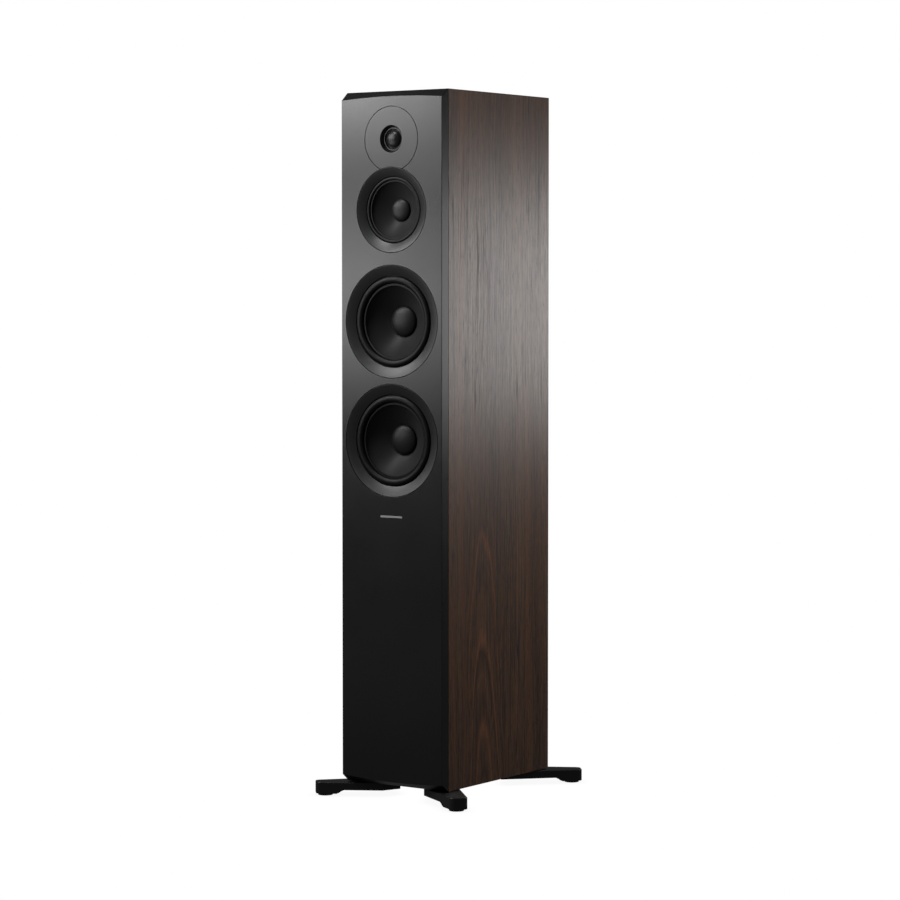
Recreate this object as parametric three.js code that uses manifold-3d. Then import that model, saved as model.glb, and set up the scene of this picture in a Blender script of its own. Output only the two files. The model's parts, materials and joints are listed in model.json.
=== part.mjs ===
// Floorstanding three-way loudspeaker: a veneered cabinet with a black front baffle, a dome tweeter,
// a midrange, two woofers, two rear bass-reflex ports, a pair of binding posts and four outrigger feet.
// Millimetres, +Z up. The origin is on the floor, midway between the feet. The front looks along -Y.

import * as THREE from 'three';
import { mergeVertices } from 'three/addons/utils/BufferGeometryUtils.js';
import Module from 'manifold-3d';

const wasm = await Module();
wasm.setup();

// ---------------------------------------------------------------- driving dimensions

const GAP = 0.3; // clearance between pieces that touch on the real object

const CABINET_WIDTH = 204;
const CABINET_DEPTH = 296;
const CABINET_HEIGHT = 1140;
const CABINET_BOTTOM = 24; // height of the cabinet's underside above the floor
const CABINET_FRONT = -150; // plane where the baffle meets the panels
const PANEL_THICKNESS = 16;

const BAFFLE_THICKNESS = 17.4;
const BAFFLE_SIDE_INSET = 1.2; // the front face is this much narrower at each side
const BAFFLE_TOP_DROP = 9.4; // slope of the top edge at the middle
const BAFFLE_BOTTOM_RISE = 8.5;
const BAFFLE_ARCH = 4; // how much more the slope takes away at 100 mm from the middle
const BAFFLE_FRONT = CABINET_FRONT - BAFFLE_THICKNESS;

// Driver heights above the cabinet's underside.
const TWEETER_HEIGHT = 1061;
const MIDRANGE_HEIGHT = 946;
const UPPER_WOOFER_HEIGHT = 764;
const LOWER_WOOFER_HEIGHT = 569.6;

const SHELF_HEIGHT = 857; // underside of the shelf that closes the midrange chamber
const BRACE_HEIGHT = 659; // underside of the window brace between the woofers
const PORT_HEIGHTS = { upper: 735, lower: 560 };
const TERMINAL_HEIGHT = 200;

const RING_SEGMENTS = 24;
const SMALL_SEGMENTS = 16;

// Cone drivers. Radii are from the driver's axis and depths are from the baffle's front face.
const WOOFER = {
  ring: { outer: 92, inner: 75.4, bevelDepth: 5.5, back: 8 },
  lip: { outer: 80, thickness: 0.7 },
  roll: { radius: 68.4, halfWidth: 6.2, height: 5.5, glue: 3.4 },
  cone: { outer: 61.5, depth: 10, neck: 19.8, neckDepth: 39.5, thickness: 1.1 },
  cap: { radius: 25, depth: 35.3, rise: 7, thickness: 0.7 },
  coil: { inner: 18.7, former: 19.3, winding: 20.2, top: 36.5, windingTop: 59, bottom: 73 },
  spider: { inner: 19.8, outer: 50, depth: 49.6, wave: 1.4, thickness: 0.7 },
  basket: { flange: 3.5, wall: 3, seatInner: 44, seat: 53, seatDepth: 51.6, windows: 6, windowWidth: 40 },
  motor: {
    front: 62, plate: 6, gap: 20.7, bore: 26, magnet: 52, magnetBack: 86, pole: 18.2, vent: 6, back: 93,
  },
};
const MIDRANGE = {
  ring: { outer: 69.3, inner: 54.5, bevelDepth: 6, back: 8.5 },
  lip: { outer: 59, thickness: 0.6 },
  roll: { radius: 51.5, halfWidth: 3, height: 2.6, glue: 2.2 },
  cone: { outer: 48.2, depth: 9.8, neck: 15.3, neckDepth: 30.1, thickness: 1 },
  cap: { radius: 18.5, depth: 27.8, rise: 5.5, thickness: 0.6 },
  coil: { inner: 14.2, former: 14.8, winding: 15.6, top: 28.8, windingTop: 45, bottom: 54 },
  spider: { inner: 15.3, outer: 35, depth: 37.6, wave: 1.1, thickness: 0.6 },
  basket: { flange: 3.2, wall: 2.6, seatInner: 31, seat: 38, seatDepth: 39.3, windows: 6, windowWidth: 28 },
  motor: {
    front: 46, plate: 5, gap: 16.1, bore: 20, magnet: 37, magnetBack: 64, pole: 13.7, vent: 4, back: 70,
  },
};
const TWEETER = {
  plate: {
    radius: 52.9, thickness: 4.5, recess: 22.5, recessDepth: 7, throat: 16.4, lipDepth: 7.5, collar: 24,
  },
  collarBack: 10,
  dome: { radius: 14, top: 3, edge: 8.2, roll: 16, thickness: 0.5, formerEnd: 17 },
  motor: { front: 10.5, radius: 36, pole: 13.3, gap: 15.2, gapEnd: 20, back: 26 },
  chamber: { wall: 2.5, back: 52 },
};

// Outrigger feet. The outline is for the front right foot: x to the right, y forwards from the feet's
// middle, both counted positive, so the other three are its mirror images.
const FOOT = {
  rootFront: [29, 103],
  innerFront: [42, 135],
  tipFront: [137, 192.5],
  tipRear: [154.5, 170.5],
  rootRear: [57.2, 69.4],
  padCentre: [133, 172],
  tipRadius: 8,
  direction: THREE.MathUtils.degToRad(40), // of the arm, away from the X axis
  top: 23.4,
  tipTop: 22.6,
  underside: 9.8,
  blockBottom: 3.5,
  blockEnd: 17, // from the pad's centre out to the tip
  blockStart: -17, // where the flat underside of the block begins
  curveEnd: -30, // where the arm reaches its thin section
  innerReach: -130,
};
const PAD = { radius: 12.3, height: 3.2, chamfer: 0.8, stud: 4, studTop: 16, socket: 4.5, socketTop: 18 };

const PORT = { bore: 25, tube: 28, inner: -4, mouth: 36, flange: 41, flangeThickness: 3, sleeve: 35.5 };
const TERMINAL = { width: 130, height: 90, thickness: 3, bossWidth: 111, bossHeight: 71, bossDepth: 12 };
const POST = {
  spacing: 38, shaft: 3.9, collar: 8.5, collarThickness: 3, end: 172, socket: 2.1, socketDepth: 17.5,
};
const NUT = { hole: 4.3, radius: 9, length: 15.3, washer: 8.5, washerThickness: 1.5 };

const BOARD = { width: 150, depth: 200, thickness: 3 };
const INDUCTOR = { centre: [-36, -30], inner: 9, outer: 27, height: 25 };
const CAPACITOR = { centre: [36, 20], radius: 15, length: 52 };
const LOOM = { radius: 3.5, x: 60, y: 90 };

// ---------------------------------------------------------------- materials

function material(color, roughness, metalness = 0) {
  return new THREE.MeshStandardMaterial({ color, roughness, metalness });
}

const finishes = {
  baffle: () => material(0x191919, 0.42),
  walnut: () => material(0x3a2a23, 0.5),
  board: () => material(0x6b5a45, 0.8),
  trim: () => material(0x1c1c1c, 0.38, 0.3),
  cone: () => material(0x111111, 0.6),
  rubber: () => material(0x0c0c0c, 0.75),
  castMetal: () => material(0x2a2a2c, 0.55, 0.6),
  steel: () => material(0x8d8f92, 0.35, 0.9),
  ferrite: () => material(0x2b2b2e, 0.8),
  copper: () => material(0xa8613a, 0.4, 0.8),
  spider: () => material(0xb08a4c, 0.9),
  silk: () => material(0x0e0e0e, 0.7),
  plastic: () => material(0x131313, 0.5),
  brass: () => material(0xc9a65a, 0.3, 0.9),
  redCap: () => material(0x8c1616, 0.35),
  blackCap: () => material(0x151515, 0.35),
  circuitBoard: () => material(0x1f4a2c, 0.6),
};

// ---------------------------------------------------------------- geometry helpers

// Closed solid through rings of matching points; each ring is flat and convex.
function loft(rings) {
  const triangles = [];
  const count = rings[0].length;
  for (let level = 0; level + 1 < rings.length; level += 1) {
    for (let i = 0; i < count; i += 1) {
      const j = (i + 1) % count;
      const [a, b] = [rings[level][i], rings[level][j]];
      const [c, d] = [rings[level + 1][j], rings[level + 1][i]];
      triangles.push([a, b, c], [a, c, d]);
    }
  }
  const middle = (ring) => ring.reduce((sum, p) => sum.add(p), new THREE.Vector3()).divideScalar(count);
  const first = rings[0];
  const last = rings[rings.length - 1];
  const firstMiddle = middle(first);
  const lastMiddle = middle(last);
  for (let i = 0; i < count; i += 1) {
    const j = (i + 1) % count;
    triangles.push([first[j], first[i], firstMiddle], [last[i], last[j], lastMiddle]);
  }
  return outward(triangles);
}

// Geometry from triangles, turned over if they face inwards.
function outward(triangles) {
  const volume = triangles.reduce((sum, [a, b, c]) => sum + a.dot(b.clone().cross(c)), 0);
  const positions = triangles.flatMap(([a, b, c]) => (volume > 0 ? [a, b, c] : [a, c, b]))
    .flatMap((p) => [p.x, p.y, p.z]);
  const geometry = new THREE.BufferGeometry();
  geometry.setAttribute('position', new THREE.Float32BufferAttribute(positions, 3));
  geometry.computeVertexNormals();
  return geometry;
}

// Solid of revolution about Y from [radius, y] points, given in either direction.
function revolve(profile, segments) {
  const points = profile.map(([radius, y]) => new THREE.Vector2(radius, y));
  if (THREE.ShapeUtils.area(points) < 0) {
    points.reverse();
  }
  const onAxis = points[0].x === 0 && points[points.length - 1].x === 0;
  if (!onAxis) {
    points.push(points[0].clone());
  }
  return new THREE.LatheGeometry(points, segments);
}

function extrude(outline, from, to) {
  const shape = new THREE.Shape(outline.map(([x, y]) => new THREE.Vector2(x, y)));
  const geometry = new THREE.ExtrudeGeometry(shape, { depth: to - from, bevelEnabled: false });
  return geometry.translate(0, 0, from);
}

function box(low, high) {
  const size = high.map((value, axis) => value - low[axis]);
  const centre = high.map((value, axis) => (value + low[axis]) / 2);
  return new THREE.BoxGeometry(...size).translate(...centre);
}

function toSolid(geometry) {
  const bare = geometry.clone();
  bare.deleteAttribute('normal');
  bare.deleteAttribute('uv');
  const merged = mergeVertices(bare, 1e-4);
  const triangles = [];
  for (let i = 0; i < merged.index.count; i += 3) {
    const [a, b, c] = [0, 1, 2].map((corner) => merged.index.getX(i + corner));
    if (a !== b && b !== c && c !== a) {
      triangles.push(a, b, c);
    }
  }
  const vertProperties = new Float32Array(merged.attributes.position.array);
  const triVerts = new Uint32Array(triangles);
  return new wasm.Manifold(new wasm.Mesh({ numProp: 3, vertProperties, triVerts }));
}

function toGeometry(solid) {
  const mesh = solid.getMesh();
  const geometry = new THREE.BufferGeometry();
  geometry.setAttribute('position', new THREE.BufferAttribute(new Float32Array(mesh.vertProperties), 3));
  geometry.setIndex(new THREE.BufferAttribute(new Uint32Array(mesh.triVerts), 1));
  geometry.computeVertexNormals();
  return geometry;
}

function cut(geometry, tools) {
  return toGeometry(tools.reduce((solid, tool) => solid.subtract(toSolid(tool)), toSolid(geometry)));
}

// ---------------------------------------------------------------- assembly

const speaker = new THREE.Group();
speaker.name = 'floorstanding_speaker';

function addPiece(parent, name, geometry, finish) {
  const mesh = new THREE.Mesh(geometry, finishes[finish]());
  mesh.name = name;
  parent.add(mesh);
  return mesh;
}

function groupAt(x, y, z) {
  const group = new THREE.Group();
  group.position.set(x, y, z);
  speaker.add(group);
  return group;
}

// ---------------------------------------------------------------- cabinet

const carcassOutside = {
  lo: [-CABINET_WIDTH / 2, CABINET_FRONT, CABINET_BOTTOM],
  hi: [CABINET_WIDTH / 2, CABINET_FRONT + CABINET_DEPTH, CABINET_BOTTOM + CABINET_HEIGHT],
};
const carcassInside = {
  lo: [carcassOutside.lo[0] + PANEL_THICKNESS, CABINET_FRONT, carcassOutside.lo[2] + PANEL_THICKNESS],
  hi: carcassOutside.hi.map((value) => value - PANEL_THICKNESS),
};
const [BACK_OUTSIDE, BACK_INSIDE] = [carcassOutside.hi[1], carcassInside.hi[1]];

// Edge of a panel: drawn back from the mitre plane everywhere but at the front.
function mitredEdge(limits, side, axis) {
  const shift = (GAP / 2) * Math.SQRT2;
  if (axis === 1 && side === 'lo') {
    return limits.lo[axis];
  }
  return limits[side][axis] + (side === 'lo' ? shift : -shift);
}

// One panel of the carcass, with 45 degree edges: axis is its normal, side is 'lo' or 'hi'.
function carcassPanel(axis, side) {
  const [u, v] = [0, 1, 2].filter((other) => other !== axis);
  const corners = [['lo', 'lo'], ['hi', 'lo'], ['hi', 'hi'], ['lo', 'hi']];
  const quad = (limits) => corners.map(([sideU, sideV]) => {
    const corner = [0, 0, 0];
    corner[axis] = limits[side][axis];
    corner[u] = mitredEdge(limits, sideU, u);
    corner[v] = mitredEdge(limits, sideV, v);
    return new THREE.Vector3(...corner);
  });
  return loft([quad(carcassOutside), quad(carcassInside)]);
}

// Outline of the baffle at one depth: the edges step in by the given amounts.
function baffleRing(y, inset, topDrop, bottomRise, arch) {
  const half = CABINET_WIDTH / 2 - inset;
  const steps = 8;
  const edge = (side, height, slope) => Array.from({ length: steps + 1 }, (_, i) => {
    const x = side * half * (1 - (2 * i) / steps);
    const z = height + slope * arch * (x / 100) ** 2;
    return new THREE.Vector3(x, y, z);
  });
  const top = edge(1, CABINET_BOTTOM + CABINET_HEIGHT - topDrop, -1);
  const bottom = edge(-1, CABINET_BOTTOM + bottomRise, 1);
  return [...top, ...bottom];
}

// Bore for a driver: a shallow rebate for its flange and a through hole for its body.
function driverBore(height, rebate, rebateDepth, hole) {
  const profile = [
    [0, -1],
    [rebate, -1],
    [rebate, rebateDepth],
    [hole, rebateDepth],
    [hole, BAFFLE_THICKNESS + 1],
    [0, BAFFLE_THICKNESS + 1],
  ];
  return revolve(profile, RING_SEGMENTS).translate(0, BAFFLE_FRONT, CABINET_BOTTOM + height);
}

function coneDriverBore(spec, height) {
  const flangeBack = spec.ring.back + GAP + spec.basket.flange;
  return driverBore(height, spec.ring.outer + GAP, flangeBack + GAP, spec.lip.outer + 0.8);
}

function makeBaffle() {
  const back = baffleRing(CABINET_FRONT - GAP, 0, 0, 0, 0);
  const front = baffleRing(BAFFLE_FRONT, BAFFLE_SIDE_INSET, BAFFLE_TOP_DROP, BAFFLE_BOTTOM_RISE, BAFFLE_ARCH);
  const { plate, motor } = TWEETER;
  return cut(loft([back, front]), [
    driverBore(TWEETER_HEIGHT, plate.radius + 2 * GAP, plate.thickness + GAP, motor.radius + 1.5),
    coneDriverBore(MIDRANGE, MIDRANGE_HEIGHT),
    coneDriverBore(WOOFER, UPPER_WOOFER_HEIGHT),
    coneDriverBore(WOOFER, LOWER_WOOFER_HEIGHT),
  ]);
}

function makeBackPanel() {
  const [from, to] = [BACK_INSIDE - 1, BACK_OUTSIDE + 1];
  const portHole = (height) => revolve(
    [[0, from], [PORT.sleeve + 2 * GAP, from], [PORT.sleeve + 2 * GAP, to], [0, to]],
    SMALL_SEGMENTS,
  ).translate(0, 0, CABINET_BOTTOM + height);
  const [halfWidth, halfHeight] = [TERMINAL.bossWidth / 2 + 0.5, TERMINAL.bossHeight / 2 + 0.5];
  const middle = CABINET_BOTTOM + TERMINAL_HEIGHT;
  const terminalHole = box([-halfWidth, from, middle - halfHeight], [halfWidth, to, middle + halfHeight]);
  const portHoles = [portHole(PORT_HEIGHTS.upper), portHole(PORT_HEIGHTS.lower)];
  return cut(carcassPanel(1, 'hi'), [...portHoles, terminalHole]);
}

// Board across the inside of the cabinet, clear of the panels and the baffle.
function innerBoard(height) {
  const bottom = CABINET_BOTTOM + height;
  return box(
    [carcassInside.lo[0] + GAP, CABINET_FRONT + GAP, bottom],
    [carcassInside.hi[0] - GAP, BACK_INSIDE - GAP, bottom + PANEL_THICKNESS],
  );
}

function makeBrace() {
  const bottom = CABINET_BOTTOM + BRACE_HEIGHT - 1;
  const top = bottom + PANEL_THICKNESS + 2;
  const windows = [];
  for (const [left, right] of [[-72, -12], [12, 72]]) {
    for (const [front, back] of [[-124, -22], [2, 104]]) {
      windows.push(box([left, front, bottom], [right, back, top]));
    }
  }
  return cut(innerBoard(BRACE_HEIGHT), windows);
}

function makeShelf() {
  const bottom = CABINET_BOTTOM + SHELF_HEIGHT;
  const cableHole = new THREE.CylinderGeometry(LOOM.radius + 2, LOOM.radius + 2, 2 * PANEL_THICKNESS, 12)
    .rotateX(Math.PI / 2)
    .translate(LOOM.x, LOOM.y, bottom + PANEL_THICKNESS / 2);
  return cut(innerBoard(SHELF_HEIGHT), [cableHole]);
}

addPiece(speaker, 'front_baffle', makeBaffle(), 'baffle');
addPiece(speaker, 'side_panel_left', carcassPanel(0, 'lo'), 'walnut');
addPiece(speaker, 'side_panel_right', carcassPanel(0, 'hi'), 'walnut');
addPiece(speaker, 'bottom_panel', carcassPanel(2, 'lo'), 'walnut');
addPiece(speaker, 'top_panel', carcassPanel(2, 'hi'), 'walnut');
addPiece(speaker, 'back_panel', makeBackPanel(), 'walnut');
addPiece(speaker, 'midrange_chamber_shelf', makeShelf(), 'board');
addPiece(speaker, 'window_brace', makeBrace(), 'board');

// ---------------------------------------------------------------- cone drivers

function trimRing({ outer, inner, bevelDepth, back }) {
  return revolve([[outer, 0], [inner, bevelDepth], [inner, back], [outer, back]], RING_SEGMENTS);
}

// Cast frame: flange with a step for the surround, sloping legs, a seat for the spider and a foot.
function basket(spec) {
  const { ring, lip, motor } = spec;
  const { flange, wall, seatInner, seat, seatDepth, windows, windowWidth } = spec.basket;
  const front = ring.back + GAP;
  const step = front + lip.thickness + GAP;
  const kneeDepth = seatDepth - 5.6;
  const profile = [
    [ring.inner + 0.2, step],
    [seat, kneeDepth],
    [seat, seatDepth],
    [seatInner, seatDepth],
    [seatInner, motor.front - GAP],
    [seat + wall, motor.front - GAP],
    [seat + wall, kneeDepth + 0.5],
    [ring.inner + wall + 0.8, front + flange],
    [ring.outer - 0.2, front + flange],
    [ring.outer - 0.2, front],
    [lip.outer + 0.4, front],
    [lip.outer + 0.4, step],
  ];
  const [windowFront, windowBack] = [front + flange + 4, kneeDepth - 4];
  const cutters = Array.from({ length: windows }, (_, i) => (
    box([-windowWidth / 2, windowFront, seat - 6], [windowWidth / 2, windowBack, ring.outer])
      .rotateY((i * 2 * Math.PI) / windows)
  ));
  return cut(revolve(profile, RING_SEGMENTS), cutters);
}

// Half roll with a flat lip on each side.
function surround({ ring, lip, roll }) {
  const front = ring.back + GAP;
  const arcs = 4;
  const side = (shrink, depth) => [
    [lip.outer, depth],
    ...Array.from({ length: arcs + 1 }, (_, i) => {
      const angle = (i * Math.PI) / arcs;
      const radius = roll.radius + (roll.halfWidth - shrink) * Math.cos(angle);
      return [radius, depth - (roll.height - (shrink > 0 ? shrink / 2 : 0)) * Math.sin(angle)];
    }),
    [roll.radius - roll.halfWidth - roll.glue, depth],
  ];
  const outside = side(0, front);
  const inside = side(lip.thickness, front + lip.thickness);
  return revolve([...outside, ...inside.reverse()], RING_SEGMENTS);
}

function cone({ cone: { outer, depth, neck, neckDepth, thickness } }) {
  const profile = [
    [outer, depth],
    [neck, neckDepth],
    [neck, neckDepth + thickness],
    [outer, depth + thickness],
  ];
  return revolve(profile, RING_SEGMENTS);
}

function dustCap({ cap: { radius, depth, rise, thickness } }) {
  const arcs = 4;
  const dome = (r, height) => Array.from({ length: arcs + 1 }, (_, i) => {
    const angle = (i * Math.PI) / (2 * arcs);
    return [i === arcs ? 0 : r * Math.cos(angle), depth - height * Math.sin(angle)];
  });
  const profile = [...dome(radius, rise).reverse(), ...dome(radius - thickness, rise - thickness)];
  return revolve(profile, SMALL_SEGMENTS);
}

function voiceCoil({ coil: { inner, former, winding, top, windingTop, bottom } }) {
  const profile = [
    [inner, top],
    [former, top],
    [former, windingTop],
    [winding, windingTop],
    [winding, bottom],
    [inner, bottom],
  ];
  return revolve(profile, SMALL_SEGMENTS);
}

function spider({ spider: { inner, outer, depth, wave, thickness } }) {
  const folds = 5;
  const side = (offset) => Array.from({ length: folds + 1 }, (_, i) => {
    const edge = i === 0 || i === folds;
    const swing = edge ? 0 : wave * (i % 2 ? 1 : -1);
    return [inner + ((outer - inner) * i) / folds, depth + swing + offset];
  });
  return revolve([...side(0), ...side(thickness).reverse()], SMALL_SEGMENTS);
}

function magnet({ basket: { seat, wall }, motor: { front, plate, gap, bore, magnet: outer, magnetBack } }) {
  const profile = [
    [gap, front],
    [seat + wall, front],
    [seat + wall, front + plate],
    [outer, front + plate],
    [outer, magnetBack],
    [bore, magnetBack],
    [bore, front + plate],
    [gap, front + plate],
  ];
  return revolve(profile, SMALL_SEGMENTS);
}

function yoke({ motor: { front, magnet: outer, magnetBack, pole, vent, back } }) {
  const profile = [
    [vent, front],
    [pole, front],
    [pole, magnetBack + GAP],
    [outer - 2, magnetBack + GAP],
    [outer - 2, back],
    [vent, back],
  ];
  return revolve(profile, SMALL_SEGMENTS);
}

function addConeDriver(name, spec, height) {
  const driver = groupAt(0, BAFFLE_FRONT, CABINET_BOTTOM + height);
  addPiece(driver, `${name}_trim_ring`, trimRing(spec.ring), 'trim');
  addPiece(driver, `${name}_basket`, basket(spec), 'castMetal');
  addPiece(driver, `${name}_surround`, surround(spec), 'rubber');
  addPiece(driver, `${name}_cone`, cone(spec), 'cone');
  addPiece(driver, `${name}_dust_cap`, dustCap(spec), 'cone');
  addPiece(driver, `${name}_voice_coil`, voiceCoil(spec), 'copper');
  addPiece(driver, `${name}_spider`, spider(spec), 'spider');
  addPiece(driver, `${name}_magnet`, magnet(spec), 'ferrite');
  addPiece(driver, `${name}_yoke`, yoke(spec), 'steel');
}

addConeDriver('midrange', MIDRANGE, MIDRANGE_HEIGHT);
addConeDriver('woofer_upper', WOOFER, UPPER_WOOFER_HEIGHT);
addConeDriver('woofer_lower', WOOFER, LOWER_WOOFER_HEIGHT);

// ---------------------------------------------------------------- tweeter

// Round faceplate with a sunk throat; the midrange's trim ring bites into its lower edge.
function tweeterFaceplate() {
  const { radius, thickness, recess, recessDepth, throat, lipDepth, collar } = TWEETER.plate;
  const profile = [
    [radius, 0],
    [recess, 0],
    [throat + 1.1, recessDepth],
    [throat, lipDepth],
    [throat, TWEETER.collarBack],
    [collar, TWEETER.collarBack],
    [collar, thickness],
    [radius, thickness],
  ];
  const bite = MIDRANGE.ring.outer + 2 * GAP;
  const biteProfile = [[0, -1], [bite, -1], [bite, thickness + 1], [0, thickness + 1]];
  const ringClearance = revolve(biteProfile, RING_SEGMENTS)
    .translate(0, 0, MIDRANGE_HEIGHT - TWEETER_HEIGHT);
  return cut(revolve(profile, RING_SEGMENTS), [ringClearance]);
}

// Soft dome with its roll and its coil former, which move as one piece.
function tweeterDiaphragm() {
  const { radius, top, edge, roll, thickness, formerEnd } = TWEETER.dome;
  const arcs = 3;
  const dome = (r, shift) => Array.from({ length: arcs }, (_, i) => {
    const angle = (i * Math.PI) / (2 * arcs);
    return [r * Math.sin(angle), edge + shift - (edge - top) * Math.cos(angle)];
  });
  const rollMiddle = (radius + roll) / 2;
  const profile = [
    ...dome(radius, 0),
    [radius, edge],
    [rollMiddle, edge - 0.6],
    [roll, edge],
    [roll, edge + thickness],
    [rollMiddle, edge + 0.1],
    [radius + 0.4, edge + thickness],
    [radius + 0.4, formerEnd],
    [radius - 0.1, formerEnd],
    [radius - 0.1, edge + thickness + 0.3],
    ...dome(radius - 0.5, thickness).reverse(),
  ];
  return revolve(profile, SMALL_SEGMENTS);
}

function tweeterMagnet() {
  const { front, radius, pole, gap, gapEnd, back } = TWEETER.motor;
  const profile = [
    [0, front],
    [pole, front],
    [pole, gapEnd],
    [gap, gapEnd],
    [gap, front],
    [radius, front],
    [radius, back],
    [0, back],
  ];
  return revolve(profile, SMALL_SEGMENTS);
}

function tweeterChamber() {
  const { radius, back: front } = TWEETER.motor;
  const { wall, back } = TWEETER.chamber;
  const profile = [
    [0, back - wall],
    [radius - wall, back - wall],
    [radius - wall, front + GAP],
    [radius, front + GAP],
    [radius, back],
    [0, back],
  ];
  return revolve(profile, SMALL_SEGMENTS);
}

const tweeter = groupAt(0, BAFFLE_FRONT, CABINET_BOTTOM + TWEETER_HEIGHT);
addPiece(tweeter, 'tweeter_faceplate', tweeterFaceplate(), 'trim');
addPiece(tweeter, 'tweeter_diaphragm', tweeterDiaphragm(), 'silk');
addPiece(tweeter, 'tweeter_magnet', tweeterMagnet(), 'ferrite');
addPiece(tweeter, 'tweeter_rear_chamber', tweeterChamber(), 'plastic');

// ---------------------------------------------------------------- rear ports

// Flared tube: it widens through the back panel and ends in a thin flange outside.
function portTube() {
  const { bore, tube, inner, mouth, flange, flangeThickness, sleeve } = PORT;
  const flangeFront = BACK_OUTSIDE + GAP;
  const flangeBack = flangeFront + flangeThickness;
  const profile = [
    [bore, inner],
    [bore, BACK_INSIDE - 12],
    [bore + 2.5, BACK_INSIDE + 2],
    [mouth - 2.5, BACK_OUTSIDE],
    [mouth, flangeBack],
    [flange, flangeBack],
    [flange, flangeFront],
    [sleeve, flangeFront],
    [sleeve, BACK_INSIDE + 2],
    [tube, BACK_INSIDE - 10],
    [tube, inner],
  ];
  return revolve(profile, SMALL_SEGMENTS);
}

for (const [place, height] of Object.entries(PORT_HEIGHTS)) {
  addPiece(groupAt(0, 0, CABINET_BOTTOM + height), `port_tube_${place}`, portTube(), 'plastic');
}

// ---------------------------------------------------------------- terminals

function terminalPlate() {
  const { width, height, thickness, bossWidth, bossHeight, bossDepth } = TERMINAL;
  const face = BACK_OUTSIDE + GAP;
  const flange = box([-width / 2, face, -height / 2], [width / 2, face + thickness, height / 2]);
  const bossLow = [-bossWidth / 2, face - bossDepth, -bossHeight / 2];
  const boss = box(bossLow, [bossWidth / 2, face + 1, bossHeight / 2]);
  const plate = toGeometry(toSolid(flange).add(toSolid(boss)));
  const radius = POST.shaft + 2 * GAP;
  const hole = (x) => revolve([[0, 100], [radius, 100], [radius, 200], [0, 200]], 16).translate(x, 0, 0);
  return cut(plate, [hole(-POST.spacing / 2), hole(POST.spacing / 2)]);
}

const COLLAR_FRONT = BACK_OUTSIDE + TERMINAL.thickness + 2 * GAP;
const COLLAR_BACK = COLLAR_FRONT + POST.collarThickness;

function bindingPost() {
  const { shaft, collar, end, socket, socketDepth } = POST;
  const profile = [
    [0, BACK_INSIDE - 2],
    [shaft, BACK_INSIDE - 2],
    [shaft, COLLAR_FRONT],
    [collar, COLLAR_FRONT],
    [collar, COLLAR_BACK],
    [shaft, COLLAR_BACK],
    [shaft, end],
    [socket, end],
    [socket, end - socketDepth],
    [0, end - socketDepth],
  ];
  return revolve(profile, 16);
}

function sleeve(inner, outer, from, to) {
  return revolve([[inner, from], [outer, from], [outer, to], [inner, to]], 16);
}

const washerFront = COLLAR_BACK + GAP;
const nutFront = washerFront + NUT.washerThickness + GAP;
const terminals = groupAt(0, 0, CABINET_BOTTOM + TERMINAL_HEIGHT);
addPiece(terminals, 'terminal_plate', terminalPlate(), 'plastic');
for (const [sign, side, cap] of [['positive', 1, 'redCap'], ['negative', -1, 'blackCap']]) {
  const terminal = new THREE.Group();
  terminal.position.x = (side * POST.spacing) / 2;
  terminals.add(terminal);
  addPiece(terminal, `binding_post_${sign}`, bindingPost(), 'brass');
  const washer = sleeve(NUT.hole, NUT.washer, washerFront, washerFront + NUT.washerThickness);
  addPiece(terminal, `clamp_washer_${sign}`, washer, 'brass');
  const nut = sleeve(NUT.hole, NUT.radius, nutFront, nutFront + NUT.length);
  addPiece(terminal, `binding_nut_${sign}`, nut, cap);
}

// ---------------------------------------------------------------- crossover and wiring

const FLOOR_INSIDE = carcassInside.lo[2];
const BOARD_TOP = FLOOR_INSIDE + GAP + BOARD.thickness;

function makeLoom() {
  const chamberBack = BAFFLE_FRONT + TWEETER.chamber.back + 2 * GAP;
  const tweeterAxis = CABINET_BOTTOM + TWEETER_HEIGHT;
  const route = [
    [LOOM.x, LOOM.y - 10, BOARD_TOP + 2 * GAP],
    [LOOM.x, LOOM.y - 10, 70],
    [LOOM.x, LOOM.y - 5, 150],
    [LOOM.x, LOOM.y, 300],
    [LOOM.x, LOOM.y, 560],
    [LOOM.x, LOOM.y, 760],
    [LOOM.x, LOOM.y, 890],
    [LOOM.x, LOOM.y - 5, 1000],
    [LOOM.x - 22, LOOM.y - 60, tweeterAxis - 6],
    [6, -50, tweeterAxis],
    [0, chamberBack + 30, tweeterAxis],
    [0, chamberBack, tweeterAxis],
  ].map((point) => new THREE.Vector3(...point));
  const path = new THREE.CatmullRomCurve3(route, false, 'centripetal');
  const section = new THREE.Shape();
  section.absarc(0, 0, LOOM.radius, 0, 2 * Math.PI);
  return new THREE.ExtrudeGeometry(section, { steps: 24, curveSegments: 4, extrudePath: path });
}

const crossover = groupAt(0, 0, FLOOR_INSIDE);
const boardLow = [-BOARD.width / 2, -BOARD.depth / 2, GAP];
const boardHigh = [BOARD.width / 2, BOARD.depth / 2, GAP + BOARD.thickness];
addPiece(crossover, 'crossover_board', box(boardLow, boardHigh), 'circuitBoard');

const inductorProfile = [
  [INDUCTOR.inner, 0],
  [INDUCTOR.outer, 0],
  [INDUCTOR.outer, INDUCTOR.height],
  [INDUCTOR.inner, INDUCTOR.height],
];
const coil = revolve(inductorProfile, SMALL_SEGMENTS);
const inductor = addPiece(speaker, 'crossover_inductor', coil, 'copper');
inductor.rotation.x = Math.PI / 2;
inductor.position.set(...INDUCTOR.centre, BOARD_TOP + GAP);

const capacitor = addPiece(
  speaker,
  'crossover_capacitor',
  new THREE.CylinderGeometry(CAPACITOR.radius, CAPACITOR.radius, CAPACITOR.length, SMALL_SEGMENTS),
  'plastic',
);
capacitor.position.set(...CAPACITOR.centre, BOARD_TOP + GAP + CAPACITOR.radius);

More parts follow.
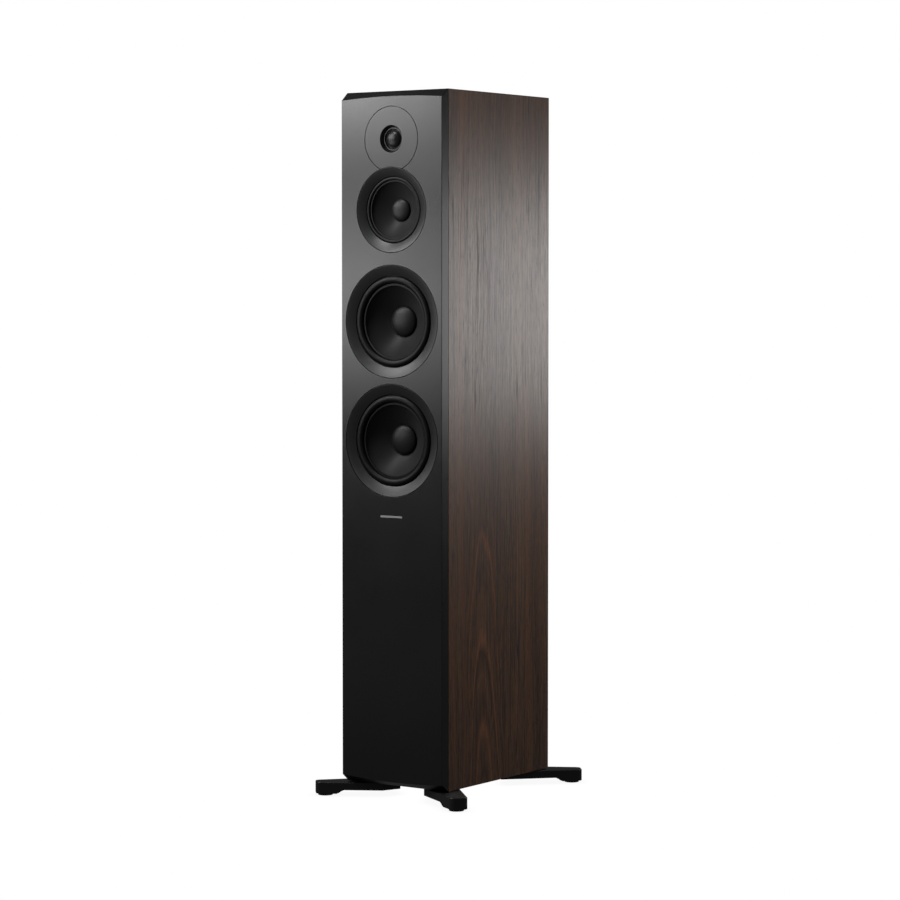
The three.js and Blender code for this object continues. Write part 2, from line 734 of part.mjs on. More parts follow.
addPiece(speaker, 'wiring_loom', makeLoom(), 'plastic');

// ---------------------------------------------------------------- feet

// Plan of one foot, mirrored by the two signs; the two corners of its tip are rounded.
function footOutline(sideX, sideY) {
  const { rootFront, innerFront, tipFront, tipRear, rootRear, tipRadius } = FOOT;
  const corners = [rootFront, innerFront, tipFront, tipRear, rootRear]
    .map(([x, y]) => new THREE.Vector2(x, y));
  const outline = [];
  corners.forEach((corner, i) => {
    if (corner.x < tipFront[0]) {
      outline.push(corner);
      return;
    }
    const before = corners[i - 1].clone().sub(corner).normalize();
    const after = corners[i + 1].clone().sub(corner).normalize();
    const halfAngle = Math.acos(before.dot(after)) / 2;
    const reach = tipRadius / Math.tan(halfAngle);
    const start = corner.clone().addScaledVector(before, reach);
    const end = corner.clone().addScaledVector(after, reach);
    const curve = new THREE.QuadraticBezierCurve(start, corner, end);
    outline.push(...curve.getPoints(5));
  });
  return outline.map(({ x, y }) => [sideX * x, sideY * y]);
}

// Side view of the arm: s runs outwards from the pad's centre.
function footSide() {
  const { top, tipTop, underside, blockBottom, blockEnd, blockStart, curveEnd, innerReach } = FOOT;
  const steps = 5;
  const curve = Array.from({ length: steps + 1 }, (_, i) => {
    const t = i / steps;
    const ease = t * t * (3 - 2 * t);
    return [blockStart + (curveEnd - blockStart) * t, blockBottom + (underside - blockBottom) * ease];
  });
  return [
    [innerReach, top],
    [innerReach, underside],
    ...curve.reverse(),
    [blockEnd, blockBottom],
    [blockEnd, tipTop],
  ];
}

function footArm(sideX, sideY) {
  const plan = extrude(footOutline(sideX, sideY), 0, CABINET_BOTTOM);
  const heading = Math.atan2(sideY * Math.sin(FOOT.direction), sideX * Math.cos(FOOT.direction));
  const [padX, padY] = [sideX * FOOT.padCentre[0], sideY * FOOT.padCentre[1]];
  const side = extrude(footSide(), -80, 80)
    .rotateX(Math.PI / 2)
    .rotateZ(heading)
    .translate(padX, padY, 0);
  const socket = new THREE.CylinderGeometry(PAD.socket, PAD.socket, PAD.socketTop, 16)
    .rotateX(Math.PI / 2)
    .translate(padX, padY, PAD.socketTop / 2);
  return toGeometry(toSolid(plan).intersect(toSolid(side)).subtract(toSolid(socket)));
}

function footPad() {
  const { radius, height, chamfer, stud, studTop } = PAD;
  const profile = [
    [0, 0],
    [radius - chamfer, 0],
    [radius, chamfer],
    [radius, height],
    [stud, height],
    [stud, studTop],
    [0, studTop],
  ];
  return revolve(profile, SMALL_SEGMENTS);
}

for (const [end, sideY] of [['front', -1], ['rear', 1]]) {
  for (const [side, sideX] of [['left', -1], ['right', 1]]) {
    addPiece(speaker, `foot_arm_${end}_${side}`, footArm(sideX, sideY), 'plastic');
    const pad = addPiece(speaker, `foot_pad_${end}_${side}`, footPad(), 'rubber');
    pad.rotation.x = Math.PI / 2;
    pad.position.set(sideX * FOOT.padCentre[0], sideY * FOOT.padCentre[1], 0);
  }
}

export default speaker;
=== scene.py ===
"""Looks of a slim three-way floorstanding loudspeaker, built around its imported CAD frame.

Metres, +Z up. The origin is on the floor midway between the feet, and the front baffle faces -Y.
Sizes in the tables are in millimetres and go through MM; places come from the frame's own boxes.
"""

import json
import math

import bmesh
import bpy
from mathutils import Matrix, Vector


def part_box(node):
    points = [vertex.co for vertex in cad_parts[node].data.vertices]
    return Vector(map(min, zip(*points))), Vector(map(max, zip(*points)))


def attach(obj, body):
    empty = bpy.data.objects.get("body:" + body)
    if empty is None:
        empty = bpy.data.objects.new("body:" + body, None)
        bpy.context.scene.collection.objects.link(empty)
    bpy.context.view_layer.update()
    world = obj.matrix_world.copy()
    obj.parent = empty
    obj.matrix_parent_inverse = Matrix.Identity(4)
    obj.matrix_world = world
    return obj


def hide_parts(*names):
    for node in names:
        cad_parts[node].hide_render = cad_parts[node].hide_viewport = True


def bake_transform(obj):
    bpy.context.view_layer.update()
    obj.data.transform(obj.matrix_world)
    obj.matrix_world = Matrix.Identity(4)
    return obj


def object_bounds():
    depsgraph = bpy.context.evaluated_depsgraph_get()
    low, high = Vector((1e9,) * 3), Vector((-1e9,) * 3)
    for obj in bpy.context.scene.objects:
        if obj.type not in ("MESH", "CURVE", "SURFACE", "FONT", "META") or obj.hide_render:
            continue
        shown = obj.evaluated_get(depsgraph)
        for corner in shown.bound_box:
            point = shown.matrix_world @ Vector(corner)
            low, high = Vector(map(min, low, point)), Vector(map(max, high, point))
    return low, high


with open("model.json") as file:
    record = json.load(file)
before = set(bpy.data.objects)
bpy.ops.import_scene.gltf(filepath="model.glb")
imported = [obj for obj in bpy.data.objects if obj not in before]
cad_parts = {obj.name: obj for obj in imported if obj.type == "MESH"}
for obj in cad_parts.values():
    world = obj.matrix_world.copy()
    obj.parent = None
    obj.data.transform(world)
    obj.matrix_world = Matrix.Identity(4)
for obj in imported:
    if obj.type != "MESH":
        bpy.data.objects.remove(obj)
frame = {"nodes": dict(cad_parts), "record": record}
cad_low, cad_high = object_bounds()
scene = bpy.context.scene

MM = 0.001
RING_STEPS = 144  # around the large round pieces
SOFT_ANGLE = math.radians(32)  # edges sharper than this stay crisp

# ---- camera

CAMERA_PLACE = (2.859, -4.082, 0.845)
CAMERA_AZIMUTH = math.radians(35.01)
CAMERA_PITCH = math.radians(-2.445)
CAMERA_LENS = 118.87
CAMERA_SHIFT = -0.0405

camera_data = bpy.data.cameras.new("camera")
camera_data.lens = CAMERA_LENS
camera_data.sensor_width = 36
camera_data.shift_y = CAMERA_SHIFT
camera_data.clip_start = 0.1
camera_data.clip_end = 60
camera = bpy.data.objects.new("camera", camera_data)
camera.location = CAMERA_PLACE
camera.rotation_euler = (math.pi / 2 + CAMERA_PITCH, 0, CAMERA_AZIMUTH)
scene.collection.objects.link(camera)
scene.camera = camera

# ---- materials


def linear(*rgb):
    """Screen values from 0 to 255 as linear light."""
    shares = [v / 255 for v in rgb]
    return [s / 12.92 if s <= 0.04045 else ((s + 0.055) / 1.055) ** 2.4 for s in shares]


def tinted(tone, factor):
    return [c * factor for c in tone]


class Finish:
    """A node material built one step at a time. Each method returns a socket or a node."""

    def __init__(self, name, **fixed):
        self.material = bpy.data.materials.new(name)
        self.material.use_nodes = True
        self.tree = self.material.node_tree
        self.surface = self.tree.nodes["Principled BSDF"]
        for socket, value in fixed.items():
            self.surface.inputs[socket.replace("_", " ")].default_value = value
        self.coordinates = self.add("TexCoord").outputs["Object"]

    def add(self, kind, inputs=None, **settings):
        node = self.tree.nodes.new("ShaderNode" + kind)
        for key, value in settings.items():
            setattr(node, key, value)
        for key, value in (inputs or {}).items():
            if isinstance(value, bpy.types.NodeSocket):
                self.tree.links.new(value, node.inputs[key])
            else:
                node.inputs[key].default_value = value
        return node

    def math(self, operation, a, b=0.0):
        return self.add("Math", {0: a, 1: b}, operation=operation).outputs[0]

    def times(self, a, b):
        return self.math("MULTIPLY", a, b)

    def weigh(self, *parts):
        """Sum of (value, share) pairs."""
        terms = [self.times(value, share) for value, share in parts]
        total = terms[0]
        for term in terms[1:]:
            total = self.math("ADD", total, term)
        return total

    def vector(self, x, y, z):
        return self.add("CombineXYZ", {0: x, 1: y, 2: z}).outputs[0]

    def about(self, centre):
        """Coordinates from a driver's axis, which runs along Y through centre (x, z)."""
        inputs = {"Vector": self.coordinates, "Location": (-centre[0], 0, -centre[1])}
        return self.add("Mapping", inputs).outputs[0]

    def noise(self, at, scale, detail=2.0, roughness=0.5):
        inputs = {"Vector": at, "Scale": scale, "Detail": detail, "Roughness": roughness}
        return self.add("TexNoise", inputs).outputs["Fac"]

    def remap(self, value, low, high, to_low, to_high, smooth=False):
        inputs = {0: value, 1: low, 2: high, 3: to_low, 4: to_high}
        kind = "SMOOTHSTEP" if smooth else "LINEAR"
        return self.add("MapRange", inputs, interpolation_type=kind).outputs[0]

    def vary(self, value, middle, swing):
        """A noise as middle, give or take swing."""
        return self.remap(value, 0.3, 0.7, middle - swing, middle + swing)

    def mix(self, share, a, b):
        inputs = {0: share}
        for index, value in ((6, a), (7, b)):
            is_socket = isinstance(value, bpy.types.NodeSocket)
            inputs[index] = value if is_socket else (*value[:3], 1)
        return self.add("Mix", inputs, data_type="RGBA").outputs[2]

    def ramp(self, value, stops):
        node = self.add("ValToRGB", {0: value})
        elements = node.color_ramp.elements
        while len(elements) < len(stops):
            elements.new(1)
        for element, (place, colour) in zip(elements, stops):
            element.position = place
            element.color = (*colour[:3], 1)
        return node.outputs["Color"]

    def bump(self, height, strength, distance):
        inputs = {"Height": height, "Strength": strength, "Distance": distance}
        return self.add("Bump", inputs).outputs[0]

    def use(self, **sockets):
        for name, socket in sockets.items():
            self.tree.links.new(socket, self.surface.inputs[name.replace("_", " ")])
        return self.material


def painted(name, rgb, roughness, grain, depth, spread=0.25, grain_strength=0.3, specular=0.5):
    """Paint, plastic or rubber: a clouded tone, uneven gloss and a fine texture.

    rgb is in screen values, grain in bumps to a metre and depth, their height, in millimetres.
    """
    f = Finish(name, Specular_IOR_Level=specular)
    cloud = f.noise(f.coordinates, 11, 3)
    fine = f.noise(f.coordinates, grain, 3, 0.6)
    tone = linear(*rgb)
    dark, light = tinted(tone, 1 - spread), tinted(tone, 1 + spread)
    mottle = f.weigh((cloud, 0.6), (fine, 0.4))
    return f.use(
        Base_Color=f.mix(mottle, dark, light),
        Roughness=f.vary(mottle, roughness, 0.03),
        Normal=f.bump(fine, grain_strength, depth * MM),
    )


def turned(name, tone, roughness, centre, pitch, depth, specular=0.5):
    """Satin surface turned on a lathe about a driver's axis, with fine concentric grooves."""
    f = Finish(name, Specular_IOR_Level=specular)
    flat = f.add("VectorMath", {0: f.about(centre), 1: (1, 0, 1)}, operation="MULTIPLY").outputs[0]
    radius = f.add("VectorMath", {0: flat}, operation="LENGTH").outputs["Value"]
    groove = f.math("SINE", f.times(radius, 2 * math.pi / pitch))
    drift = f.noise(f.vector(f.times(radius, 900), 0, 0), 1, 3, 0.6)
    cloud = f.noise(f.coordinates, 14, 2)
    height = f.weigh((groove, 0.4), (drift, 1.0))
    return f.use(
        Base_Color=f.mix(cloud, tinted(tone, 0.8), tinted(tone, 1.25)),
        Roughness=f.vary(drift, roughness, 0.04),
        Normal=f.bump(height, 0.25, depth),
    )


WALNUT_DARK = linear(43, 29, 21)
WALNUT_BASE = linear(79, 54, 39)
WALNUT_LIGHT = linear(106, 76, 56)
WALNUT_RED = linear(118, 76, 50)

# The cathedral figure: nested parabolas that are this wide, in metres from the middle, one rise below
# the apex, and that repeat every so many rises.
FIGURE_HALF_WIDTH = 0.033
FIGURE_RISE = 0.11
FIGURE_REPEAT = 1.5


def walnut(name, grain_axis, figure=None, pale_band=None, seed=0.0):
    """Dark walnut veneer in a satin lacquer, its grain along Y or Z.

    figure is the (across, along) apex of a cathedral. pale_band is the (across, half width, lower end)
    of a streak of reddish heartwood.
    """
    f = Finish(name)
    x, y, z = f.add("SeparateXYZ", {0: f.coordinates}).outputs
    upright = grain_axis == "z"
    across = f.math("ADD", x, y) if upright else x
    along = z if upright else y
    layer = [seed]
    layer_step = 7.3  # far enough apart for two layers of noise not to look alike

    def streaks(offset, across_scale, along_scale, detail, roughness=0.55):
        layer[0] += layer_step
        stretched = f.times(offset, across_scale)
        at = f.vector(stretched, layer[0], f.times(along, along_scale))
        return f.noise(at, 1, detail, roughness)

    wander = f.math("SUBTRACT", streaks(across, 6, 1.3, 2), 0.5)
    ripple = f.math("SUBTRACT", streaks(across, 30, 6, 2), 0.5)
    drifted = f.weigh((across, 1.0), (wander, 0.06))
    line = f.weigh((drifted, 1.0), (ripple, 0.009))
    broad = streaks(line, 26, 0.5, 3)
    fine = streaks(line, 400, 3.5, 5, 0.68)
    dashes = streaks(line, 560, 50, 3, 0.6)
    pores = streaks(line, 1700, 60, 1)
    bands = f.weigh((broad, 0.26), (fine, 0.46), (dashes, 0.28))
    outline = None
    if figure:
        centre, apex = figure
        u = f.math("DIVIDE", f.math("SUBTRACT", drifted, centre), FIGURE_HALF_WIDTH)
        rises = f.math("DIVIDE", f.math("SUBTRACT", along, apex), FIGURE_RISE)
        arch = f.math("ADD", f.times(u, u), rises)
        uneven = f.weigh((arch, 1.0), (ripple, 0.8))
        at = f.vector(f.times(uneven, 2.0), seed + 3, f.times(along, 0.8))
        rings = f.noise(at, 1, 3, 0.6)
        near = f.remap(f.math("ABSOLUTE", u), 1.1, 2.3, 1, 0, smooth=True)
        below = f.remap(along, apex - 0.05, apex + 0.13, 1, 0, smooth=True)
        inside = f.times(near, below)
        arched = f.weigh((rings, 0.4), (fine, 0.34), (dashes, 0.26))
        bands = f.weigh((bands, f.math("SUBTRACT", 1, inside)), (arched, inside))
        contour = f.math("ABSOLUTE", f.math("SINE", f.times(uneven, math.pi / FIGURE_REPEAT)))
        rim = f.remap(contour, 0, 0.4, 0.85, 0, smooth=True)
        within = f.remap(uneven, 0.2, 0.5, 1, 0, smooth=True)
        outline = f.times(f.times(rim, within), inside)
    palest = tinted(WALNUT_LIGHT, 1.25)
    tone = f.ramp(bands, [(0.37, WALNUT_DARK), (0.48, WALNUT_BASE), (0.58, WALNUT_LIGHT), (0.68, palest)])
    red = f.remap(streaks(line, 30, 0.45, 2), 0.54, 0.68, 0, 0.3, smooth=True)
    tone = f.mix(red, tone, WALNUT_RED)
    if pale_band:
        middle, half, low_end = pale_band
        off_middle = f.math("ABSOLUTE", f.math("SUBTRACT", line, middle))
        inside = f.remap(off_middle, half * 0.3, half, 0.36, 0, smooth=True)
        above = f.remap(along, low_end, low_end + 0.15, 0, 1, smooth=True)
        tone = f.mix(f.times(inside, above), tone, WALNUT_RED)
    if outline:
        tone = f.mix(outline, tone, tinted(WALNUT_RED, 1.15))
    crossing = f.math("ABSOLUTE", f.math("SUBTRACT", streaks(line, 66, 1.3, 2), 0.5))
    sparse = f.remap(streaks(line, 12, 4, 1), 0.4, 0.56, 0, 1, smooth=True)
    vein = f.times(f.remap(crossing, 0.0, 0.02, 0.9, 0, smooth=True), sparse)
    tone = f.mix(vein, tone, tinted(WALNUT_DARK, 0.4))
    fleck = f.remap(dashes, 0.32, 0.42, 0.65, 0, smooth=True)
    tone = f.mix(fleck, tone, tinted(WALNUT_DARK, 0.6))
    pit = f.remap(pores, 0.28, 0.44, 0.5, 0, smooth=True)
    tone = f.mix(pit, tone, tinted(WALNUT_DARK, 0.5))
    relief = f.weigh((fine, 0.3), (dashes, 0.4), (pores, 0.3))
    # Open grain is matt, so it stays dark where the lacquer round it mirrors a light.
    matt = f.weigh((vein, 0.16), (fleck, 0.04))
    return f.use(
        Base_Color=tone,
        Roughness=f.math("ADD", f.remap(relief, 0.35, 0.62, 0.43, 0.31), matt),
        Normal=f.bump(relief, 0.35, 0.3 * MM),
    )


def weave(name, tone, light, threads, roughness, centre):
    """Woven cloth with crossing threads in the plane of a driver."""
    f = Finish(name, Sheen_Weight=0.08, Specular_IOR_Level=0.18)
    x, _, z = f.add("SeparateXYZ", {0: f.about(centre)}).outputs
    warp = f.math("SINE", f.times(x, 2 * math.pi * threads))
    weft = f.math("SINE", f.times(z, 2 * math.pi * threads))
    cross = f.remap(f.times(warp, weft), -1, 1, 0, 1)
    cloud = f.noise(f.coordinates, 60, 3)
    lit = f.times(cross, f.remap(cloud, 0.3, 0.7, 0.7, 1.0))
    return f.use(
        Base_Color=f.mix(lit, tone, light),
        Roughness=f.vary(cloud, roughness, 0.05),
        Normal=f.bump(cross, 0.3, 0.1 * MM),
    )


def speckled(name, tones, scale, roughness, metallic=0.0):
    """Pressed fibre, sintered ferrite and the like: three tones in small grains."""
    f = Finish(name, Metallic=metallic)
    grains = f.noise(f.coordinates, scale, 4, 0.7)
    cells = f.add("TexVoronoi", {"Vector": f.coordinates, "Scale": scale * 0.6}).outputs["Distance"]
    mixed = f.weigh((grains, 0.7), (cells, 0.3))
    return f.use(
        Base_Color=f.ramp(mixed, [(0.3, tones[0]), (0.48, tones[1]), (0.66, tones[2])]),
        Roughness=f.vary(grains, roughness, 0.08),
        Normal=f.bump(mixed, 0.3, 0.15 * MM),
    )


def wound(name, tone, dark, pitch, roughness):
    """Enamelled wire wound in layers: fine ridges along the Y axis."""
    f = Finish(name, Metallic=0.85)
    y = f.add("SeparateXYZ", {0: f.coordinates}).outputs["Y"]
    ridge = f.math("SINE", f.times(y, 2 * math.pi / pitch))
    lit = f.remap(ridge, -1, 1, 0, 1)
    cloud = f.noise(f.coordinates, 120, 2)
    return f.use(
        Base_Color=f.mix(lit, dark, tone),
        Roughness=f.vary(cloud, roughness, 0.06),
        Normal=f.bump(ridge, 0.5, 0.15 * MM),
    )


def machined(name, tone, roughness):
    """Bright metal with fine lines round its Y axis and slight tarnish."""
    f = Finish(name, Metallic=1.0)
    line_density = (40, 2200, 40)
    at = f.add("VectorMath", {0: f.coordinates, 1: line_density}, operation="MULTIPLY").outputs[0]
    lines = f.noise(at, 1, 2, 0.6)
    tarnish = f.noise(f.coordinates, 90, 4, 0.6)
    return f.use(
        Base_Color=f.mix(tarnish, tinted(tone, 0.72), tone),
        Roughness=f.vary(lines, roughness, 0.08),
        Normal=f.bump(lines, 0.15, 0.05 * MM),
    )


def circuit_board(name):
    """Green solder mask over copper tracks."""
    f = Finish(name)
    grid = {"Vector": f.coordinates, "Scale": 38.0, "Mortar Size": 0.05, "Mortar Smooth": 0.3}
    tracks = f.add("TexBrick", grid).outputs["Fac"]
    cloud = f.noise(f.coordinates, 70, 3)
    mask = f.mix(cloud, linear(16, 62, 34), linear(24, 84, 46))
    return f.use(
        Base_Color=f.mix(tracks, mask, linear(58, 120, 66)),
        Roughness=f.vary(cloud, 0.35, 0.05),
        Normal=f.bump(tracks, 0.3, 0.1 * MM),
    )


RING_BLACK = linear(25, 25, 26)


def box_centre(node):
    low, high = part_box(node)
    return (low + high) / 2


def axis_of(node):
    """(x, z) of the axis of the round piece that this CAD node is."""
    centre = box_centre(node)
    return centre.x, centre.z


baffle_paint = painted("baffle_paint", (22, 22, 23), 0.29, 1500, 0.012, 0.12, 0.2)
foot_paint = painted("foot_paint", (21, 21, 22), 0.4, 1100, 0.08, 0.2, 0.6)
rubber = painted("surround_rubber", (14, 14, 14), 0.4, 1500, 0.03, 0.2, specular=0.14)
pad_rubber = painted("foot_pad_rubber", (24, 24, 24), 0.7, 900, 0.1, 0.3)
cone_coating = painted("cone_coating", (39, 39, 39), 0.4, 1300, 0.03, 0.2, specular=0.1)
cap_coating = painted("cap_coating", (20, 20, 20), 0.4, 1300, 0.03, 0.2, specular=0.2)
moulded = painted("moulded_plastic", (24, 24, 25), 0.5, 1600, 0.06, 0.2, 0.5)
cast_paint = painted("cast_frame_paint", (34, 34, 36), 0.55, 800, 0.1, 0.2, 0.5)
red_plastic = painted("red_cap_plastic", (150, 12, 14), 0.22, 400, 0.03, 0.15)
black_plastic = painted("black_cap_plastic", (22, 22, 23), 0.22, 400, 0.03, 0.15)
marking = painted("marking_print", (150, 150, 150), 0.5, 900, 0.02, 0.08)
walnut_side_right = walnut(
    "walnut_side_right", "z", figure=(0.056, 0.445), pale_band=(-0.009, 0.012, 0.68), seed=1.0
)
walnut_side_left = walnut("walnut_side_left", "z", figure=(-0.13, 0.6), seed=41.0)
walnut_back = walnut("walnut_back", "z", figure=(0.12, 0.7), seed=83.0)
walnut_flat = walnut("walnut_flat", "y", seed=127.0)
board_tones = linear(110, 84, 58), linear(140, 110, 78), linear(166, 134, 98)
fibreboard = speckled("fibreboard", board_tones, 900, 0.8)
ferrite_tones = linear(38, 38, 41), linear(50, 50, 54), linear(64, 64, 68)
ferrite = speckled("ferrite", ferrite_tones, 1400, 0.6, 0.2)
steel = machined("plated_steel", linear(170, 170, 168), 0.32)
gold = machined("gold_plate", linear(232, 186, 104), 0.2)
copper = wound("copper_wire", linear(190, 104, 62), linear(96, 44, 24), 0.6 * MM, 0.35)
board_green = circuit_board("solder_mask")

# ---- mesh tools


def even(steps):
    """Shares from 0 to 1 in even steps."""
    return [i / steps for i in range(steps + 1)]


def between(a, b, t):
    return a + (b - a) * t


def eased(value, start, end):
    """0 at start and 1 at end, with a smooth step between them."""
    t = min(1, max(0, (value - start) / (end - start)))
    return t * t * (3 - 2 * t)


def rounded(corners, steps=4):
    """Closed outline of (a, b, radius) corners as plain points, each corner rounded to its radius."""
    points = []
    for i, (a, b, radius) in enumerate(corners):
        here = Vector((a, b))
        if radius <= 0:
            points.append(here)
            continue
        back = Vector(corners[i - 1][:2]) - here
        onward = Vector(corners[(i + 1) % len(corners)][:2]) - here
        half = back.angle(onward) / 2
        reach = min(radius / math.tan(half), 0.48 * back.length, 0.48 * onward.length)
        middle = (back.normalized() + onward.normalized()).normalized() * (reach / math.cos(half))
        start = back.normalized() * reach - middle
        end = onward.normalized() * reach - middle
        for t in even(steps):
            points.append(here + middle + start.slerp(end, t).normalized() * start.length)
    return points


def shade(obj, weighted=True):
    """Smooth shading with crisp edges, and flat faces kept flat beside their small roundings."""
    obj.data.shade_smooth()
    obj.data.set_sharp_from_angle(angle=SOFT_ANGLE)
    if weighted:
        modifier = obj.modifiers.new("normals", "WEIGHTED_NORMAL")
        modifier.keep_sharp = True
        modifier.weight = 60


def mesh_object(name, vertices, faces, material):
    mesh = bpy.data.meshes.new(name)
    mesh.from_pydata([tuple(v) for v in vertices], [], faces)
    b = bmesh.new()
    b.from_mesh(mesh)
    bmesh.ops.remove_doubles(b, verts=b.verts, dist=1e-7)
    bmesh.ops.recalc_face_normals(b, faces=b.faces)
    b.to_mesh(mesh)
    b.free()
    obj = bpy.data.objects.new(name, mesh)
    scene.collection.objects.link(obj)
    mesh.materials.append(material)
    return obj


def on_axis(axis, centre, radius, angle, along):
    """Point at a radius and angle about an axis along Y or Z through centre."""
    c, s = radius * math.cos(angle), radius * math.sin(angle)
    if axis == "y":
        return (centre[0] + c, along, centre[1] + s)
    return (centre[0] + c, centre[1] + s, along)


def lathe(name, profile, material, centre=(0, 0), steps=RING_STEPS, axis="y", scale=None):
    """Solid of revolution from a closed (radius, along) profile in metres.

    scale(angle, radius, along) may flute it: the radius is multiplied by what it returns.
    """
    vertices, rows = [], []
    for radius, along in profile:
        if radius < 1e-7:
            rows.append([len(vertices)] * steps)
            vertices.append(on_axis(axis, centre, 0, 0, along))
            continue
        rows.append(list(range(len(vertices), len(vertices) + steps)))
        for i in range(steps):
            angle = 2 * math.pi * i / steps
            factor = scale(angle, radius, along) if scale else 1
            vertices.append(on_axis(axis, centre, radius * factor, angle, along))
    faces = []
    for near, far in zip(rows, rows[1:] + rows[:1]):
        for i in range(steps):
            j = (i + 1) % steps
            corners = list(dict.fromkeys([near[i], near[j], far[j], far[i]]))
            if len(corners) > 2:
                faces.append(corners)
    return mesh_object(name, vertices, faces, material)


def rod(name, centre, radius, start, end, material, steps=RING_STEPS, axis="y"):
    """Solid cylinder about an axis."""
    profile = [(0, start), (radius, start), (radius, end), (0, end)]
    return lathe(name, profile, material, centre, steps, axis)


def in_metres(points):
    return [(p[0] * MM, p[1] * MM) for p in points]


def loft(name, loops, material):
    """Closed solid through loops of equally many points, with a face over each end."""
    vertices = [point for loop in loops for point in loop]
    count = len(loops[0])
    faces = [list(range(count)), list(range(len(vertices) - count, len(vertices)))]
    for k in range(len(loops) - 1):
        for i in range(count):
            j = (i + 1) % count
            faces.append([k * count + i, k * count + j, (k + 1) * count + j, (k + 1) * count + i])
    return mesh_object(name, vertices, faces, material)


def cut(obj, *tools):
    """Subtracts closed meshes from obj and removes them."""
    for tool in tools:
        modifier = obj.modifiers.new("cut", "BOOLEAN")
        modifier.operation = "DIFFERENCE"
        modifier.solver = "EXACT"
        modifier.object = tool
        graph = bpy.context.evaluated_depsgraph_get()
        made = bpy.data.meshes.new_from_object(obj.evaluated_get(graph), depsgraph=graph)
        obj.modifiers.remove(modifier)
        old = obj.data
        obj.data = made
        made.name = obj.name
        bpy.data.meshes.remove(old)
        bpy.data.objects.remove(tool)
    return obj


def bevelled(obj, width, segments=3, angle=math.radians(40)):
    """Rounds the edges that are sharper than angle."""
    b = bmesh.new()
    b.from_mesh(obj.data)
    edges = [e for e in b.edges if len(e.link_faces) == 2 and e.calc_face_angle(0) > angle]
    bmesh.ops.bevel(
        b, geom=edges, offset=width, segments=segments, profile=0.5, affect="EDGES", clamp_overlap=True
    )
    b.to_mesh(obj.data)
    b.free()
    return obj


def stands_for(obj, body, slot, *nodes, weighted=True):
    """Finishes a piece: it rides on its body and replaces its CAD nodes. Its slot is not used."""
    shade(obj, weighted)
    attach(obj, body)
    if nodes:
        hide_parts(*nodes)
    return obj


# ---- cabinet

EDGE = 0.5 * MM  # rounding of the veneered edges
BAFFLE_EDGE = 0.7 * MM
SIDE_INSET, TOP_DROP, BOTTOM_RISE = 1.2 * MM, 9.4 * MM, 8.5 * MM
ARCH = 4 * MM  # further slope at 100 mm from the middle

baffle_low, baffle_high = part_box("front_baffle")
FRONT, BAFFLE_BACK = baffle_low.y, baffle_high.y
HALF_WIDTH = (baffle_high.x - baffle_low.x) / 2


def baffle_loop(y, inset, drop, rise, arch, steps=32):
    half = HALF_WIDTH - inset
    edge = [half * (1 - 2 * t) for t in even(steps)]
    top = [(x, y, baffle_high.z - drop - arch * (x / 0.1) ** 2) for x in edge]
    bottom = [(-x, y, baffle_low.z + rise + arch * (x / 0.1) ** 2) for x in edge]
    return top + bottom


BORE_EDGE = 0.2 * MM  # rounding of the mouths of the bores
CUT_PAST = 2 * MM  # how far cutters reach past a face


def bore_tool(centre, radius, depth, hole):
    """Cutter for a stepped bore whose mouth widens over a rounded edge."""
    flare = []
    for t in even(5):
        turn = math.pi / 2 * t
        wider, deeper = BORE_EDGE * (1 - math.sin(turn)), BORE_EDGE * (1 - math.cos(turn))
        flare.append((radius + wider, FRONT + deeper))
    behind = BAFFLE_BACK + 5 * MM
    profile = [
        (0, FRONT - CUT_PAST), (radius + BORE_EDGE, FRONT - CUT_PAST), *flare,
        (radius, FRONT + depth), (hole, FRONT + depth), (hole, behind), (0, behind),
    ]
    return lathe("bore_tool", profile, baffle_paint, centre)


def ring_radius(node):
    low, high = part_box(node)
    return (high.x - low.x) / 2


DRIVERS = ("midrange", "woofer_upper", "woofer_lower")
TWEETER_AXIS = axis_of("tweeter_diaphragm")
SEAM = 0.8 * MM  # dark line round each ring
RING_RECESS, RING_HOLE_MARGIN = 12.3 * MM, 0.8 * MM
PLATE_RECESS, PLATE_HOLE_MARGIN = 4.8 * MM, 1.5 * MM


def make_baffle():
    back = baffle_loop(BAFFLE_BACK, 0, 0, 0, 0)
    front = baffle_loop(FRONT, SIDE_INSET, TOP_DROP, BOTTOM_RISE, ARCH)
    board = loft("front_baffle_board", [back, front], baffle_paint)
    board = bevelled(board, BAFFLE_EDGE, 4, math.radians(25))
    tools = []
    for driver in DRIVERS:
        radius = ring_radius(f"{driver}_trim_ring")
        hole = ring_radius(f"{driver}_surround") + RING_HOLE_MARGIN
        tools.append(bore_tool(axis_of(f"{driver}_trim_ring"), radius + SEAM, RING_RECESS, hole))
    radius = ring_radius("tweeter_faceplate")
    hole = ring_radius("tweeter_magnet") + PLATE_HOLE_MARGIN
    tools.append(bore_tool(TWEETER_AXIS, radius + SEAM, PLATE_RECESS, hole))
    return cut(board, *tools)


def panel(name, node, axis, material):
    """Mitred board: its outer face fills the CAD box, and its inner face is drawn in by its thickness."""
    low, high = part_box(node)
    thick = high[axis] - low[axis]
    outer_high = (low + high)[axis] / 2 > (cad_low + cad_high)[axis] / 2
    u, v = [a for a in range(3) if a != axis]

    def loop(at, inset):
        corners = []
        for side_u, side_v in ((0, 0), (1, 0), (1, 1), (0, 1)):
            corner = Vector((0, 0, 0))
            corner[axis] = at
            for a, side in ((u, side_u), (v, side_v)):
                # The front end isn't mitred: it butts against the baffle.
                draw = 0 if a == 1 and side == 0 else inset
                corner[a] = high[a] - draw if side else low[a] + draw
            corners.append(corner)
        return corners

    outer, inner = (high[axis], low[axis]) if outer_high else (low[axis], high[axis])
    return bevelled(loft(name, [loop(outer, 0), loop(inner, thick)], material), EDGE, 3)


